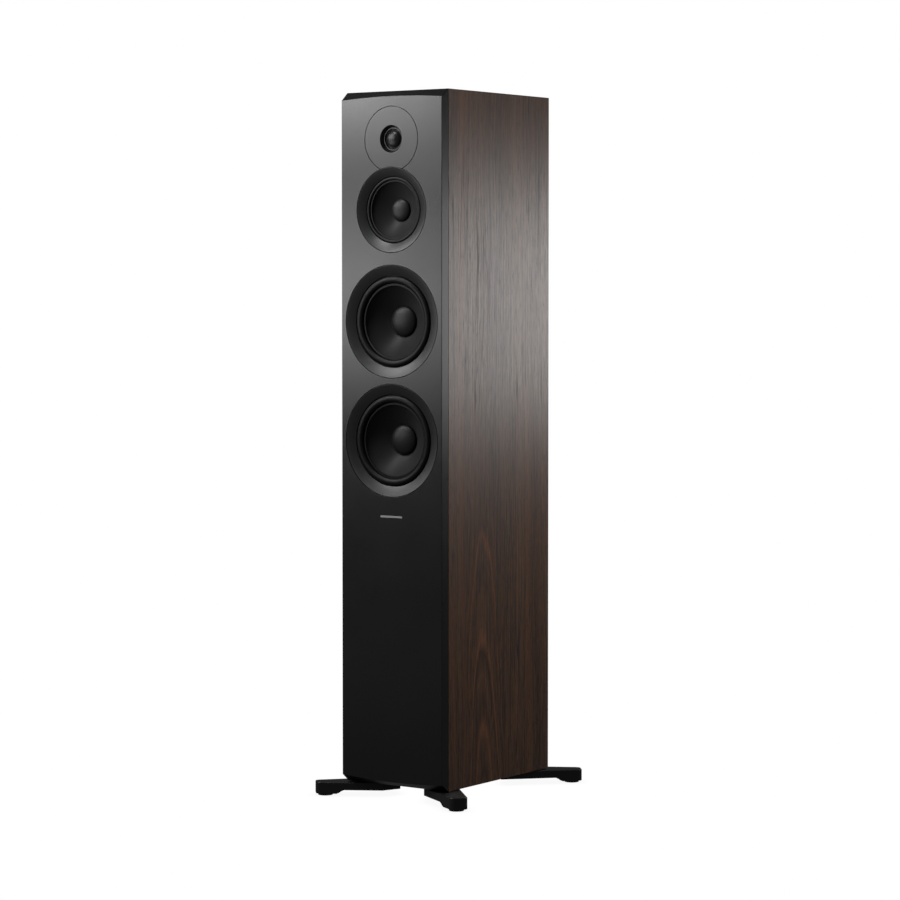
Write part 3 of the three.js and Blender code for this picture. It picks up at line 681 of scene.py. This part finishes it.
stands_for(make_baffle(), "cabinet", "baffle", "front_baffle")
for side, material in (("left", walnut_side_left), ("right", walnut_side_right)):
    node = f"side_panel_{side}"
    stands_for(panel(f"{node}_veneered", node, 0, material), "cabinet", "walnut", node)
for side in ("top", "bottom"):
    node = f"{side}_panel"
    stands_for(panel(f"{node}_veneered", node, 2, walnut_flat), "cabinet", "walnut", node)

back_low, back_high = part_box("back_panel")
plate_low, plate_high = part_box("terminal_plate")
plate_middle = (plate_low + plate_high) / 2
BOSS_HALF = (56 * MM, 36 * MM)  # half of the hole for the terminals
PORT_HOLE = 36.1 * MM
PAST_BACK = 0.4  # cutters for the back panel end well behind it


def back_tools():
    tools = []
    for place in ("upper", "lower"):
        centre = axis_of(f"port_tube_{place}")
        tools.append(rod("port_tool", centre, PORT_HOLE, 0, PAST_BACK, moulded))
    u, v = BOSS_HALF
    corners = [(u, v), (-u, v), (-u, -v), (u, -v)]
    loops = [[(a, y, plate_middle.z + b) for a, b in corners] for y in (0.1, 0.2)]
    tools.append(loft("terminal_tool", loops, moulded))
    return tools


back = cut(panel("back_panel_veneered", "back_panel", 1, walnut_back), *back_tools())
stands_for(back, "cabinet", "walnut", "back_panel")

# ---- cone drivers

# Depths are counted back from the baffle's front face and radii from the driver's axis, in millimetres.
WOOFER = {
    "ring": {"outer": 92, "inner": 75.4, "bevel": 5.5, "back": 8},
    "roll": {"lip": 80, "radius": 68.4, "half": 6.2, "height": 5.5, "glue": 3.4, "depth": 8.3, "skin": 0.7},
    "cone": {"outer": 61.5, "depth": 10, "neck": 19.8, "neck_depth": 39.5, "skin": 1.1, "bow": 2.4},
    "cap": {"radius": 25, "depth": 35.3, "rise": 7, "skin": 0.7},
    "spider": {"inner": 19.8, "outer": 50, "depth": 49.6, "wave": 1.4, "skin": 0.7},
}
MIDRANGE = {
    "ring": {"outer": 69.3, "inner": 54.5, "bevel": 6, "back": 8.5},
    "roll": {"lip": 59, "radius": 51.5, "half": 3, "height": 2.6, "glue": 2.2, "depth": 8.8, "skin": 0.6},
    "cone": {"outer": 48.2, "depth": 9.8, "neck": 15.3, "neck_depth": 30.1, "skin": 1, "bow": 1.8},
    "cap": {"radius": 18.5, "depth": 27.8, "rise": 5.5, "skin": 0.6},
    "spider": {"inner": 15.3, "outer": 35, "depth": 37.6, "wave": 1.1, "skin": 0.6},
}
SPECS = {"midrange": MIDRANGE, "woofer_upper": WOOFER, "woofer_lower": WOOFER}


def from_front(points):
    """(radius, depth) in millimetres as metres from the axis and the baffle's front."""
    return [(p[0] * MM, FRONT + p[1] * MM) for p in points]


def ring_profile(ring):
    edge = 0.5
    corners = [
        (ring["outer"], 0, edge * 0.7), (ring["inner"], ring["bevel"], edge),
        (ring["inner"], ring["back"], 0), (ring["outer"], ring["back"], 0),
    ]
    points = rounded(corners)
    # The bevel sags a little between its two edges, as a dished ring does.
    sag = 1.1
    dished = []
    for p, q in zip(points, points[1:] + points[:1]):
        dished.append(p)
        is_bevel = (p - q).length > 10 and p.y < ring["bevel"] and q.y < ring["bevel"] + edge
        if is_bevel:
            normal = Vector(((q - p).y, -(q - p).x)).normalized()
            for i in range(1, 12):
                t = i / 12
                dished.append(p.lerp(q, t) - normal * (sag * t * (1 - t)))
    return from_front(dished)


def roll_profile(roll):
    """Half roll with a flat lip outside and a glued flap inside."""

    def side(shrink, depth):
        points = [(roll["lip"], depth)]
        for t in even(28):
            angle = math.pi * t
            radius = roll["radius"] + (roll["half"] - shrink) * math.cos(angle)
            points.append((radius, depth - (roll["height"] - shrink / 2) * math.sin(angle) ** 0.85))
        points.append((roll["radius"] - roll["half"] - roll["glue"], depth))
        return points

    front = side(0, roll["depth"])
    behind = side(roll["skin"], roll["depth"] + roll["skin"])
    return from_front(front + behind[::-1])


def cone_profile(cone):
    def side(extra):
        points = []
        for t in even(14):
            radius = between(cone["outer"], cone["neck"], t)
            depth = between(cone["depth"], cone["neck_depth"], t)
            points.append((radius, depth + extra + cone["bow"] * 4 * t * (1 - t)))
        return points

    return from_front(side(0) + side(cone["skin"])[::-1])


def cap_profile(cap):
    def dome(radius, rise):
        turns = [math.pi / 2 * t for t in even(14)]
        return [(radius * math.sin(t), cap["depth"] - rise * math.cos(t)) for t in turns]

    outside = dome(cap["radius"], cap["rise"])
    inside = dome(cap["radius"] - cap["skin"], cap["rise"] - cap["skin"])
    return from_front(outside + inside[::-1])


def spider_profile(spider):
    folds = 5

    def side(extra):
        points = []
        for t in even(50):
            radius = between(spider["inner"], spider["outer"], t)
            swing = spider["wave"] * math.sin(2 * math.pi * folds / 2 * t)
            points.append((radius, spider["depth"] + swing + extra))
        return points

    return from_front(side(0) + side(spider["skin"])[::-1])


def stretching(obj, node):
    """Finishes a piece that keeps its place: smooth shading, its place baked into the mesh and its CAD node
    hidden.
    """
    shade(obj, weighted=False)
    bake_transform(obj)
    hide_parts(node)


for driver, spec in SPECS.items():
    centre = axis_of(f"{driver}_trim_ring")
    body = f"{driver}_moving_parts"
    ring_finish = turned(f"{driver}_ring_finish", RING_BLACK, 0.36, centre, 0.9 * MM, 0.05 * MM, 0.38)
    ring = lathe(f"{driver}_bevel_ring", ring_profile(spec["ring"]), ring_finish, centre)
    stands_for(ring, "cabinet", "trim_ring", f"{driver}_trim_ring")
    roll = spec["roll"]
    surround = lathe(f"{driver}_roll_surround", roll_profile(roll), rubber, centre)
    stretching(surround, f"{driver}_surround")
    cone = lathe(f"{driver}_moulded_cone", cone_profile(spec["cone"]), cone_coating, centre)
    stands_for(cone, body, "cone", f"{driver}_cone", weighted=False)
    cap = lathe(f"{driver}_domed_cap", cap_profile(spec["cap"]), cap_coating, centre, 96)
    stands_for(cap, body, "cone", f"{driver}_dust_cap", weighted=False)
    cloth = weave(f"{driver}_spider_cloth", linear(120, 84, 40), linear(196, 150, 84), 900, 0.8, centre)
    spider_spec = spec["spider"]
    spider = lathe(f"{driver}_pleated_spider", spider_profile(spider_spec), cloth, centre, 96)
    stretching(spider, f"{driver}_spider")

# ---- tweeter

PLATE = {
    "radius": 52.9, "thick": 4.5, "recess": 22.5, "recess_depth": 7, "throat": 16.4, "lip": 7.5,
    "bead": 1, "collar": 24, "back": 10,
}
PLATE_CLEARANCE = 0.6 * MM  # between the plate and the midrange ring it is cut out for
DOME = {"radius": 14, "top": 3, "edge": 8.2, "roll": 16, "skin": 0.5, "former_end": 17}
ROLL_RISE = 0.6  # of the small roll round the dome
PLATE_CUT_DEPTH = 6 * MM


def faceplate():
    outer, throat, collar = PLATE["radius"], PLATE["throat"], PLATE["collar"]
    thick, depth, back = PLATE["thick"], PLATE["recess_depth"], PLATE["back"]
    corners = [
        (outer, 0, 0.35), (PLATE["recess"], 0, 0.6), (throat + 2.4, depth, 0.2),
        (throat + 2.0, depth - PLATE["bead"], 0.3), (throat + 0.8, depth - PLATE["bead"], 0.3),
        (throat, PLATE["lip"], 0), (throat, back, 0), (collar, back, 0),
        (collar, thick, 0), (outer, thick, 0),
    ]
    plate = lathe("tweeter_front_plate", from_front(rounded(corners)), plate_finish, TWEETER_AXIS)
    radius = ring_radius("midrange_trim_ring") + PLATE_CLEARANCE
    return cut(plate, bore_tool(axis_of("midrange_trim_ring"), radius, PLATE_CUT_DEPTH, radius))


def dome_profile():
    r, edge, skin = DOME["radius"], DOME["edge"], DOME["skin"]

    def cap(radius, shift):
        points = []
        for t in even(16):
            turn = math.pi / 2 * t
            points.append((radius * math.sin(turn), edge + shift - (edge - DOME["top"]) * math.cos(turn)))
        return points

    def roll(shift):
        inner, outer = r + 0.2, DOME["roll"]
        points = []
        for t in even(8)[1:]:
            points.append((between(inner, outer, t), edge + shift - ROLL_RISE * math.sin(math.pi * t)))
        return points

    outside = cap(r, 0) + roll(0)
    inside = roll(skin)[::-1]
    former = [
        (r + 0.4, edge + skin), (r + 0.4, DOME["former_end"]),
        (r - 0.1, DOME["former_end"]), (r - 0.1, edge + skin + 0.3),
    ]
    return from_front(outside + inside[:-1] + former + cap(r - 0.5, skin)[:-1][::-1])


plate_finish = painted("faceplate_paint", (23, 23, 24), 0.3, 1500, 0.012, 0.12, 0.2)
silk = weave("dome_cloth", linear(15, 15, 15), linear(24, 24, 25), 2600, 0.22, TWEETER_AXIS)
stands_for(faceplate(), "cabinet", "faceplate", "tweeter_faceplate")
diaphragm = lathe("tweeter_cloth_dome", dome_profile(), silk, TWEETER_AXIS, 96)
stands_for(diaphragm, "tweeter_moving_parts", "silk", "tweeter_diaphragm", weighted=False)

# ---- back of the cabinet

PORT = {
    "bore": 25, "tube": 28, "mouth": 36, "flange": 41, "sleeve": 35.5, "inner_end": -4,
    "flange_thick": 3, "flare_before": 12, "step_before": 10, "sleeve_past": 2,
}
BACK_OUTSIDE = back_high.y / MM
BACK_INSIDE = back_low.y / MM
FLANGE_FRONT = BACK_OUTSIDE + 0.3
FLARE_SPAN = 0.985  # how much of a quarter circle's radius the flare takes along the port
FLARE_REACH = 0.827  # how far out the circle gets over that span, as a share of its radius


def port_profile():
    flange_back = FLANGE_FRONT + PORT["flange_thick"]
    flare_start = BACK_INSIDE - PORT["flare_before"]
    step, sleeve_end = BACK_INSIDE - PORT["step_before"], BACK_INSIDE + PORT["sleeve_past"]
    flare = []
    for t in even(18):
        spread = (1 - math.sqrt(1 - (FLARE_SPAN * t) ** 2)) / FLARE_REACH
        radius = between(PORT["bore"], PORT["mouth"], spread)
        flare.append((radius, between(flare_start, flange_back, t)))
    flange, sleeve, tube, end = (PORT[key] for key in ("flange", "sleeve", "tube", "inner_end"))
    corners = [
        (PORT["mouth"], flange_back, 0), (flange, flange_back, 1.2),
        (flange, FLANGE_FRONT, 0.2), (sleeve, FLANGE_FRONT, 0),
    ]
    outside = [(sleeve, sleeve_end), (tube, step), (tube, end)]
    return in_metres([(PORT["bore"], end), *flare, *rounded(corners)[1:], *outside])


for place in ("upper", "lower"):
    node = f"port_tube_{place}"
    port = lathe(f"{node}_flared", port_profile(), moulded, axis_of(node), 96)
    stands_for(port, "cabinet", "black_plastic", node)

POST_X = 19 * MM
POST_Z = plate_middle.z
PLATE_FACE = plate_high.y


def rounded_rectangle(half_u, half_v, radius):
    corners = [(half_u, half_v), (-half_u, half_v), (-half_u, -half_v), (half_u, -half_v)]
    return rounded([(a, b, radius) for a, b in corners], 8)


def slab(name, half_u, half_v, radius, y_front, y_back, edge, material, centre=(0, 0)):
    """Flat plate with rounded corners, its outer face at y_back with a rounded rim."""
    loops = [[(p.x, y_front, p.y) for p in rounded_rectangle(half_u, half_v, radius)]]
    for t in even(4):
        turn = math.pi / 2 * t
        draw = edge * (1 - math.cos(turn))
        y = y_back - edge * (1 - math.sin(turn))
        outline = rounded_rectangle(half_u - draw, half_v - draw, max(radius - draw, 0.1 * MM))
        loops.append([(p.x, y, p.y) for p in outline])
    moved = [[(x + centre[0], y, z + centre[1]) for x, y, z in loop] for loop in loops]
    return loft(name, moved, material)


plate_half = ((plate_high.x - plate_low.x) / 2, (plate_high.z - plate_low.z) / 2)
plate_front = PLATE_FACE - 3 * MM
CORNER, RIM = 7 * MM, 0.8 * MM
terminal = slab(
    "terminal_cover_plate", *plate_half, CORNER, plate_front, PLATE_FACE, RIM, moulded, (0, POST_Z)
)
SCREW_U, SCREW_V = 57 * MM, 37 * MM  # from the middle of the plate
SCREW_PLACES = [(u * SCREW_U, POST_Z + v * SCREW_V) for u in (-1, 1) for v in (-1, 1)]
SCREW_HEAD = 3.6 * MM
SCREW_SEAT = SCREW_HEAD + 0.2 * MM
POST_HOLE = 4.5 * MM


def screw_seat(centre):
    """Cutter for a screw's hole."""
    start, end = plate_front - 1 * MM, PLATE_FACE + 1 * MM
    return rod("screw_tool", centre, SCREW_SEAT, start, end, moulded, 32)


cut(
    terminal,
    *[rod("post_tool", (x, POST_Z), POST_HOLE, 0, 0.3, moulded, 32) for x in (-POST_X, POST_X)],
    *[screw_seat(place) for place in SCREW_PLACES],
)
stands_for(terminal, "cabinet", "black_plastic", "terminal_plate")


def screw(name, centre):
    """Countersunk screw with a hexagonal socket, sitting just below the plate's face."""
    top = PLATE_FACE - 0.3 * MM
    taper = [(0, plate_front), (SCREW_HEAD * 0.55, plate_front), (SCREW_HEAD, top - 0.5 * MM)]
    head = [*taper, (SCREW_HEAD, top), (0, top)]
    body = lathe(name, head, steel, centre, 32)
    socket_radius, socket_depth = 1.35 * MM, 1.4 * MM
    socket = rod("socket_tool", centre, socket_radius, top - socket_depth, top + 1 * MM, steel, 6)
    return cut(body, socket)


for i, place in enumerate(SCREW_PLACES):
    stands_for(screw(f"terminal_screw_{i + 1}", place), "cabinet", "steel")

SIGN_LENGTH, SIGN_WIDTH = 2.6 * MM, 0.55 * MM  # halves of the raised bars of the plus and the minus
SIGN_ABOVE_POST = 21 * MM
SIGN_HALVES = ((SIGN_LENGTH, SIGN_WIDTH, 0.35 * MM), (SIGN_WIDTH, SIGN_LENGTH, 0.36 * MM))

for label, x, bars in (("minus", -POST_X, 1), ("plus", POST_X, 2)):
    for k, (half_u, half_v, lift) in enumerate(SIGN_HALVES[:bars]):
        name, place = f"terminal_{label}_bar_{k + 1}", (x, POST_Z + SIGN_ABOVE_POST)
        base, top = PLATE_FACE - 0.2 * MM, PLATE_FACE + lift
        bar = slab(name, half_u, half_v, 0.4 * MM, base, top, 0.15 * MM, moulded, place)
        stands_for(bar, "cabinet", "black_plastic")

POST = {"radius": 3.9, "flange": 8.5, "flange_thick": 3, "end": 172, "socket": 2.1, "socket_depth": 17.5}
CLAMP = {"bore": 4.3, "washer": 8.5, "nut": 9}


def post_profile():
    shaft, flange, end, socket = (POST[key] for key in ("radius", "flange", "end", "socket"))
    near = PLATE_FACE / MM + 0.3
    far = near + POST["flange_thick"]
    bottom = end - POST["socket_depth"]
    corners = [
        (0, BACK_INSIDE - 2, 0), (shaft, BACK_INSIDE - 2, 0.4), (shaft, near, 0),
        (flange, near, 0.3), (flange, far, 0.6), (shaft, far, 0),
        (shaft, end, 0.6), (socket, end, 0.3), (socket, bottom, 0), (0, bottom, 0),
    ]
    return in_metres(rounded(corners, 3))


def nut_profile(low, high):
    hole, radius = CLAMP["bore"], CLAMP["nut"]
    corners = [
        (hole, low, 0.3), (radius - 0.6, low, 0.8), (radius, low + 2, 0.6),
        (radius, high - 3.2, 0.6), (radius - 0.9, high, 1.2), (hole, high, 0.3),
    ]
    # The long sides are divided, so that the flutes can fade along them.
    outline = rounded(corners, 5)
    divided, parts, long_side = [], 6, 3
    for p, q in zip(outline, outline[1:] + outline[:1]):
        divided.append(p)
        if (q - p).length > long_side:
            divided.extend(p.lerp(q, i / parts) for i in range(1, parts))
    return in_metres(divided)


def fluted(inner, low, high):
    """Grip of shallow scallops that fade out towards both ends."""
    scallops, depth = 18, 0.055

    def factor(angle, radius, along):
        if radius < inner:
            return 1
        fade = min(1, (along - low) / (2.2 * MM), (high - along) / (3.4 * MM))
        dip = abs(math.sin(angle * scallops / 2)) ** 0.6
        return 1 - depth * (1 - dip) * max(0, fade)

    return factor


for sign, x, cap_finish in (("positive", POST_X, red_plastic), ("negative", -POST_X, black_plastic)):
    centre = (x, POST_Z)
    post = lathe(f"binding_post_{sign}_turned", post_profile(), gold, centre, 48)
    stands_for(post, "cabinet", "brass", f"binding_post_{sign}")
    near, far = (corner.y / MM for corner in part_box(f"clamp_washer_{sign}"))
    inner, outer = CLAMP["bore"], CLAMP["washer"]
    corners = [(inner, near, 0.2), (outer, near, 0.4), (outer, far, 0.4), (inner, far, 0.2)]
    washer = lathe(f"clamp_washer_{sign}_turned", in_metres(rounded(corners, 3)), gold, centre, 48)
    stands_for(washer, f"clamp_washer_{sign}", "brass", f"clamp_washer_{sign}")
    nut_low, nut_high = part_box(f"binding_nut_{sign}")
    profile = nut_profile(nut_low.y / MM, nut_high.y / MM)
    grip = fluted(7 * MM, nut_low.y, nut_high.y)
    nut = lathe(f"binding_nut_{sign}_grip", profile, cap_finish, centre, 144, scale=grip)
    slot = "red_cap" if sign == "positive" else "black_cap"
    stands_for(nut, f"binding_nut_{sign}", slot, f"binding_nut_{sign}", weighted=False)

# ---- mark on the baffle

MARK_HALF = (22 * MM, 1.6 * MM)
MARK_CORNER, MARK_LIFT, MARK_EDGE, MARK_HEIGHT = 1.2 * MM, 0.25 * MM, 0.1 * MM, 469 * MM

mark = slab("baffle_bar_mark", *MARK_HALF, MARK_CORNER, 0, MARK_LIFT, MARK_EDGE, marking)
for v in mark.data.vertices:
    v.co = (v.co.x, FRONT - v.co.y, v.co.z + MARK_HEIGHT)
mark.data.flip_normals()
stands_for(mark, "cabinet", "baffle")

# ---- feet

# Plan of the front right arm, x to the right and y forwards; the other three are its mirror images.
FOOT = {
    "root_front": (29, 103), "inner_front": (42, 135), "tip_front": (137, 192.5),
    "tip_rear": (154.5, 170.5), "root_rear": (57.2, 69.4), "pad": (133, 172),
    "tip_radius": 8, "heading": math.radians(40), "top": 23.4, "tip_top": 22.6,
    "underside": 9.8, "block_bottom": 3.5, "block_end": 16.4, "block_start": -17,
    "curve_end": -30, "edge": 1.3, "socket": 4.5, "socket_top": 18,
}
FOOT_PAD = {"radius": 12.3, "thick": 3.2}


# Unit vectors along the arm and across it towards the front, and the pad's centre.
ARM_OUT = Vector((math.cos(FOOT["heading"]), math.sin(FOOT["heading"])))
ARM_ASIDE = Vector((-ARM_OUT.y, ARM_OUT.x))
PAD_CENTRE = Vector(FOOT["pad"])


def arm_corner(key):
    """(along, aside) of a corner of the plan, about the pad's centre."""
    d = Vector(FOOT[key]) - PAD_CENTRE
    return d.dot(ARM_OUT), d.dot(ARM_ASIDE)


def line_at(a, b, along):
    return a[1] + (b[1] - a[1]) * (along - a[0]) / (b[0] - a[0])


def arm_section(along, draw, turn):
    """Rounded rectangle across the arm, drawn in at its sides by draw and at its top and bottom by turn."""
    knee = arm_corner("inner_front")
    front_end = arm_corner("tip_front") if along > knee[0] else arm_corner("root_front")
    front = line_at(knee, front_end, along) - draw
    rear = line_at(arm_corner("root_rear"), arm_corner("tip_rear"), along) + draw
    root = arm_corner("root_rear")[0]
    top = between(FOOT["top"], FOOT["tip_top"], (along - root) / (FOOT["block_end"] - root))
    rise = eased(along, FOOT["block_start"], FOOT["curve_end"])
    bottom = between(FOOT["block_bottom"], FOOT["underside"], rise)
    edge = max(FOOT["edge"] - turn, 0.25)
    corners = [
        (front, top - turn, edge), (rear, top - turn, edge),
        (rear, bottom + turn, edge * 0.6), (front, bottom + turn, edge * 0.6),
    ]
    return rounded(corners, 5)


def foot_arm(name, side_x, side_y):
    start = max(arm_corner("root_front")[0], arm_corner("root_rear")[0])
    knee = arm_corner("inner_front")[0]
    end, radius, edge = FOOT["block_end"], FOOT["tip_radius"], FOOT["edge"]
    straight = end - radius
    places = [start, *(between(knee, straight, t) for t in even(24)[:-1])]
    rounding = [straight + radius * math.sin(math.pi / 2 * t) for t in even(14)]
    loops = []
    for along in places + rounding:
        near_end = max(0, along - straight)
        draw = radius - math.sqrt(max(0, radius ** 2 - near_end ** 2))
        into_edge = max(0, along - (end - edge))
        turn = edge - math.sqrt(max(0, edge ** 2 - into_edge ** 2))
        loop = []
        for p in arm_section(along, draw * 0.97, turn * 0.95):
            spot = PAD_CENTRE + ARM_OUT * along + ARM_ASIDE * p.x
            loop.append((side_x * spot.x * MM, side_y * spot.y * MM, p.y * MM))
        loops.append(loop)
    arm = loft(name, loops, foot_paint)
    centre = (side_x * PAD_CENTRE.x * MM, side_y * PAD_CENTRE.y * MM)
    radius, top = FOOT["socket"] * MM, FOOT["socket_top"] * MM
    return cut(arm, rod("socket_tool", centre, radius, -1 * MM, top, foot_paint, 48, axis="z"))


def pad_profile():
    radius, thick = FOOT_PAD["radius"], FOOT_PAD["thick"]
    return in_metres(rounded([(0, 0, 0), (radius, 0, 0.8), (radius, thick, 0.5), (0, thick, 0)]))


THREAD = {"radius": 4, "depth": 0.5, "pitch": 1.25, "low": 3, "high": 16, "tip": 2.9}


def stud(name, centre):
    """Threaded stud: one helical groove, with a tapered tip."""
    steps, per_turn = 32, 8
    turns = (THREAD["high"] - THREAD["low"] - 1) / THREAD["pitch"]
    angles = [2 * math.pi * i / steps for i in range(steps)]
    loops = []
    for k in range(int(turns * per_turn) + 1):
        z = THREAD["low"] + k * THREAD["pitch"] / per_turn
        loop = []
        for i, angle in enumerate(angles):
            phase = (z / THREAD["pitch"] - i / steps) % 1
            dip = THREAD["depth"] * (1 - abs(2 * phase - 1))
            loop.append(on_axis("z", centre, (THREAD["radius"] - dip) * MM, angle, z * MM))
        loops.append(loop)
    loops.append([on_axis("z", centre, THREAD["tip"] * MM, angle, THREAD["high"] * MM) for angle in angles])
    return loft(name, loops, steel)


for end, side_y in (("front", -1), ("rear", 1)):
    for side, side_x in (("left", -1), ("right", 1)):
        place = f"{end}_{side}"
        arm = foot_arm(f"foot_arm_{place}_cast", side_x, side_y)
        stands_for(arm, "cabinet", "foot", f"foot_arm_{place}")
        centre = box_centre(f"foot_pad_{place}").xy
        disc = lathe(f"foot_pad_{place}_disc", pad_profile(), pad_rubber, centre, 64, axis="z")
        stands_for(disc, f"foot_pad_{place}", "foot_pad", f"foot_pad_{place}")
        stands_for(stud(f"foot_stud_{place}", centre), f"foot_pad_{place}", "steel", weighted=False)

# ---- pieces that keep their CAD shape

INNER_FINISHES = {
    "inner_board": fibreboard,
    "cast_frame": cast_paint,
    "steel": steel,
    "ferrite": ferrite,
    "copper": copper,
    "black_plastic": moulded,
    "circuit_board": board_green,
}
slot_of = {s["node"]: s["material_slot"] for s in frame["record"]["subparts"]}
for name, obj in frame["nodes"].items():
    if not obj.hide_render:
        finish = INNER_FINISHES[slot_of[name]]
        for index in range(len(obj.material_slots)):
            obj.material_slots[index].link = "OBJECT"
            obj.material_slots[index].material = finish

# ---- studio

STUDIO_RADIUS = 14
DOME_TOP = math.radians(88)
DOME_SINK = 0.01  # how far the dome starts below the floor
FLOOR_DROP = 0.2 * MM  # keeps the floor clear of the pads' undersides
WHITE = (1.0, 1.0, 1.0)
# The floor's painted contact shadow: its tone right beside a foot and how far it reaches.
PAINTED_SHADOW_TONE = (0.93, 0.93, 0.93)  # of the floor right beside a foot
PAINTED_SHADOW_REACH = 0.02


def glowing(name):
    """Even white that lights nothing."""
    return Finish(
        name, Specular_IOR_Level=0.0, Roughness=1.0, Base_Color=(0, 0, 0, 1),
        Emission_Color=(*WHITE, 1), Emission_Strength=1.0,
    )


def floor_with_painted_shadow():
    """White with a painted contact shadow that makes it a touch darker close to the feet."""
    f = glowing("floor_with_painted_shadow")
    # Painted shadow: ambient occlusion darkens the floor's glow within a short reach of the feet.
    painted_shadow_ao = f.add("AmbientOcclusion", {"Distance": PAINTED_SHADOW_REACH}, samples=8).outputs["AO"]
    return f.use(Emission_Color=f.mix(f.remap(painted_shadow_ao, 0.35, 1.0, 0.0, 1.0), PAINTED_SHADOW_TONE, WHITE))


def staged(obj):
    """Part of the studio: seen by the camera, but neither lighting the speaker nor mirrored in it."""
    obj.visible_glossy = False
    obj.visible_diffuse = False
    obj.visible_shadow = False


def circle(radius, z, steps):
    turns = [2 * math.pi * i / steps for i in range(steps)]
    return [(radius * math.cos(turn), radius * math.sin(turn), z) for turn in turns]


def backdrop():
    """Dome round the studio floor."""
    loops = []
    for t in even(16):
        rise = DOME_TOP * t
        radius, z = STUDIO_RADIUS * math.cos(rise), STUDIO_RADIUS * math.sin(rise) - DOME_SINK
        loops.append(circle(radius, z, 48))
    return loft("studio_backdrop", loops, glowing("backdrop_finish").material)


floor_ring = circle(STUDIO_RADIUS, -FLOOR_DROP, 96)
staged(mesh_object("studio_floor", floor_ring, [list(range(len(floor_ring)))], floor_with_painted_shadow()))
staged(backdrop())

WORLD_FILL = 0.075
world = bpy.data.worlds.new("studio")
world.use_nodes = True
scene.world = world
background = world.node_tree.nodes["Background"]
background.inputs["Color"].default_value = (1, 1, 1, 1)
background.inputs["Strength"].default_value = WORLD_FILL


def softbox(name, place, target, width, height, radiance):
    """Rectangular light at place facing target, as bright as radiance wherever it is mirrored."""
    light = bpy.data.lights.new(name, "AREA")
    light.shape = "RECTANGLE"
    light.size, light.size_y = width, height
    light.energy = radiance * math.pi * width * height
    obj = bpy.data.objects.new(name, light)
    obj.location = place
    direction = Vector(target) - Vector(place)
    obj.rotation_euler = direction.to_track_quat("-Z", "Y").to_euler()
    obj.visible_camera = False
    scene.collection.objects.link(obj)


# Where the front and the right side mirror the camera's line of sight to.
FRONT_LOOK = Vector((-math.sin(CAMERA_AZIMUTH), -math.cos(CAMERA_AZIMUTH), 0))
SIDE_LOOK = -FRONT_LOOK
FRONT_SPOT = Vector((0, FRONT, 0))
SIDE_SPOT = Vector((HALF_WIDTH, 0, 0))
DISTANCE = 1.2  # from a face to the softboxes it mirrors
FLOOR_LIGHT_DISTANCE = 1.25


def facing(name, spot, look, height, aside, width, tall, radiance):
    """Softbox upright in front of a face, at a height and moved sideways along +X."""
    across = Vector((-look.y, look.x, 0))
    across *= math.copysign(1, across.x)
    place = spot + look * DISTANCE + across * aside + Vector((0, 0, height))
    softbox(name, place, place - look, width, tall, radiance)


# After the face: height, aside, width, tall and radiance.
facing("front_low", FRONT_SPOT, FRONT_LOOK, 0.83, -0.22, 0.7, 0.28, 6.0)
facing("front_high", FRONT_SPOT, FRONT_LOOK, 1.4, -0.28, 0.76, 0.42, 12.0)
facing("side_rear", SIDE_SPOT, SIDE_LOOK, 0.815, -0.3, 1.2, 0.45, 4.1)
softbox("overhead", (-0.52, -1.08, 2.0), (0, -0.15, 0.9), 0.42, 0.42, 21.0)
softbox("side_warmth", (1.0, 0.2, 0.85), (0.1, 0.14, 0.85), 0.5, 0.5, 2.6)
spot = FRONT_SPOT + FRONT_LOOK * FLOOR_LIGHT_DISTANCE
softbox("floor_bounce", (spot.x, spot.y, 0.02), (spot.x, spot.y, 1), 0.9, 0.3, 0.25)

scene.view_settings.view_transform = "Standard"
scene.view_settings.look = "None"
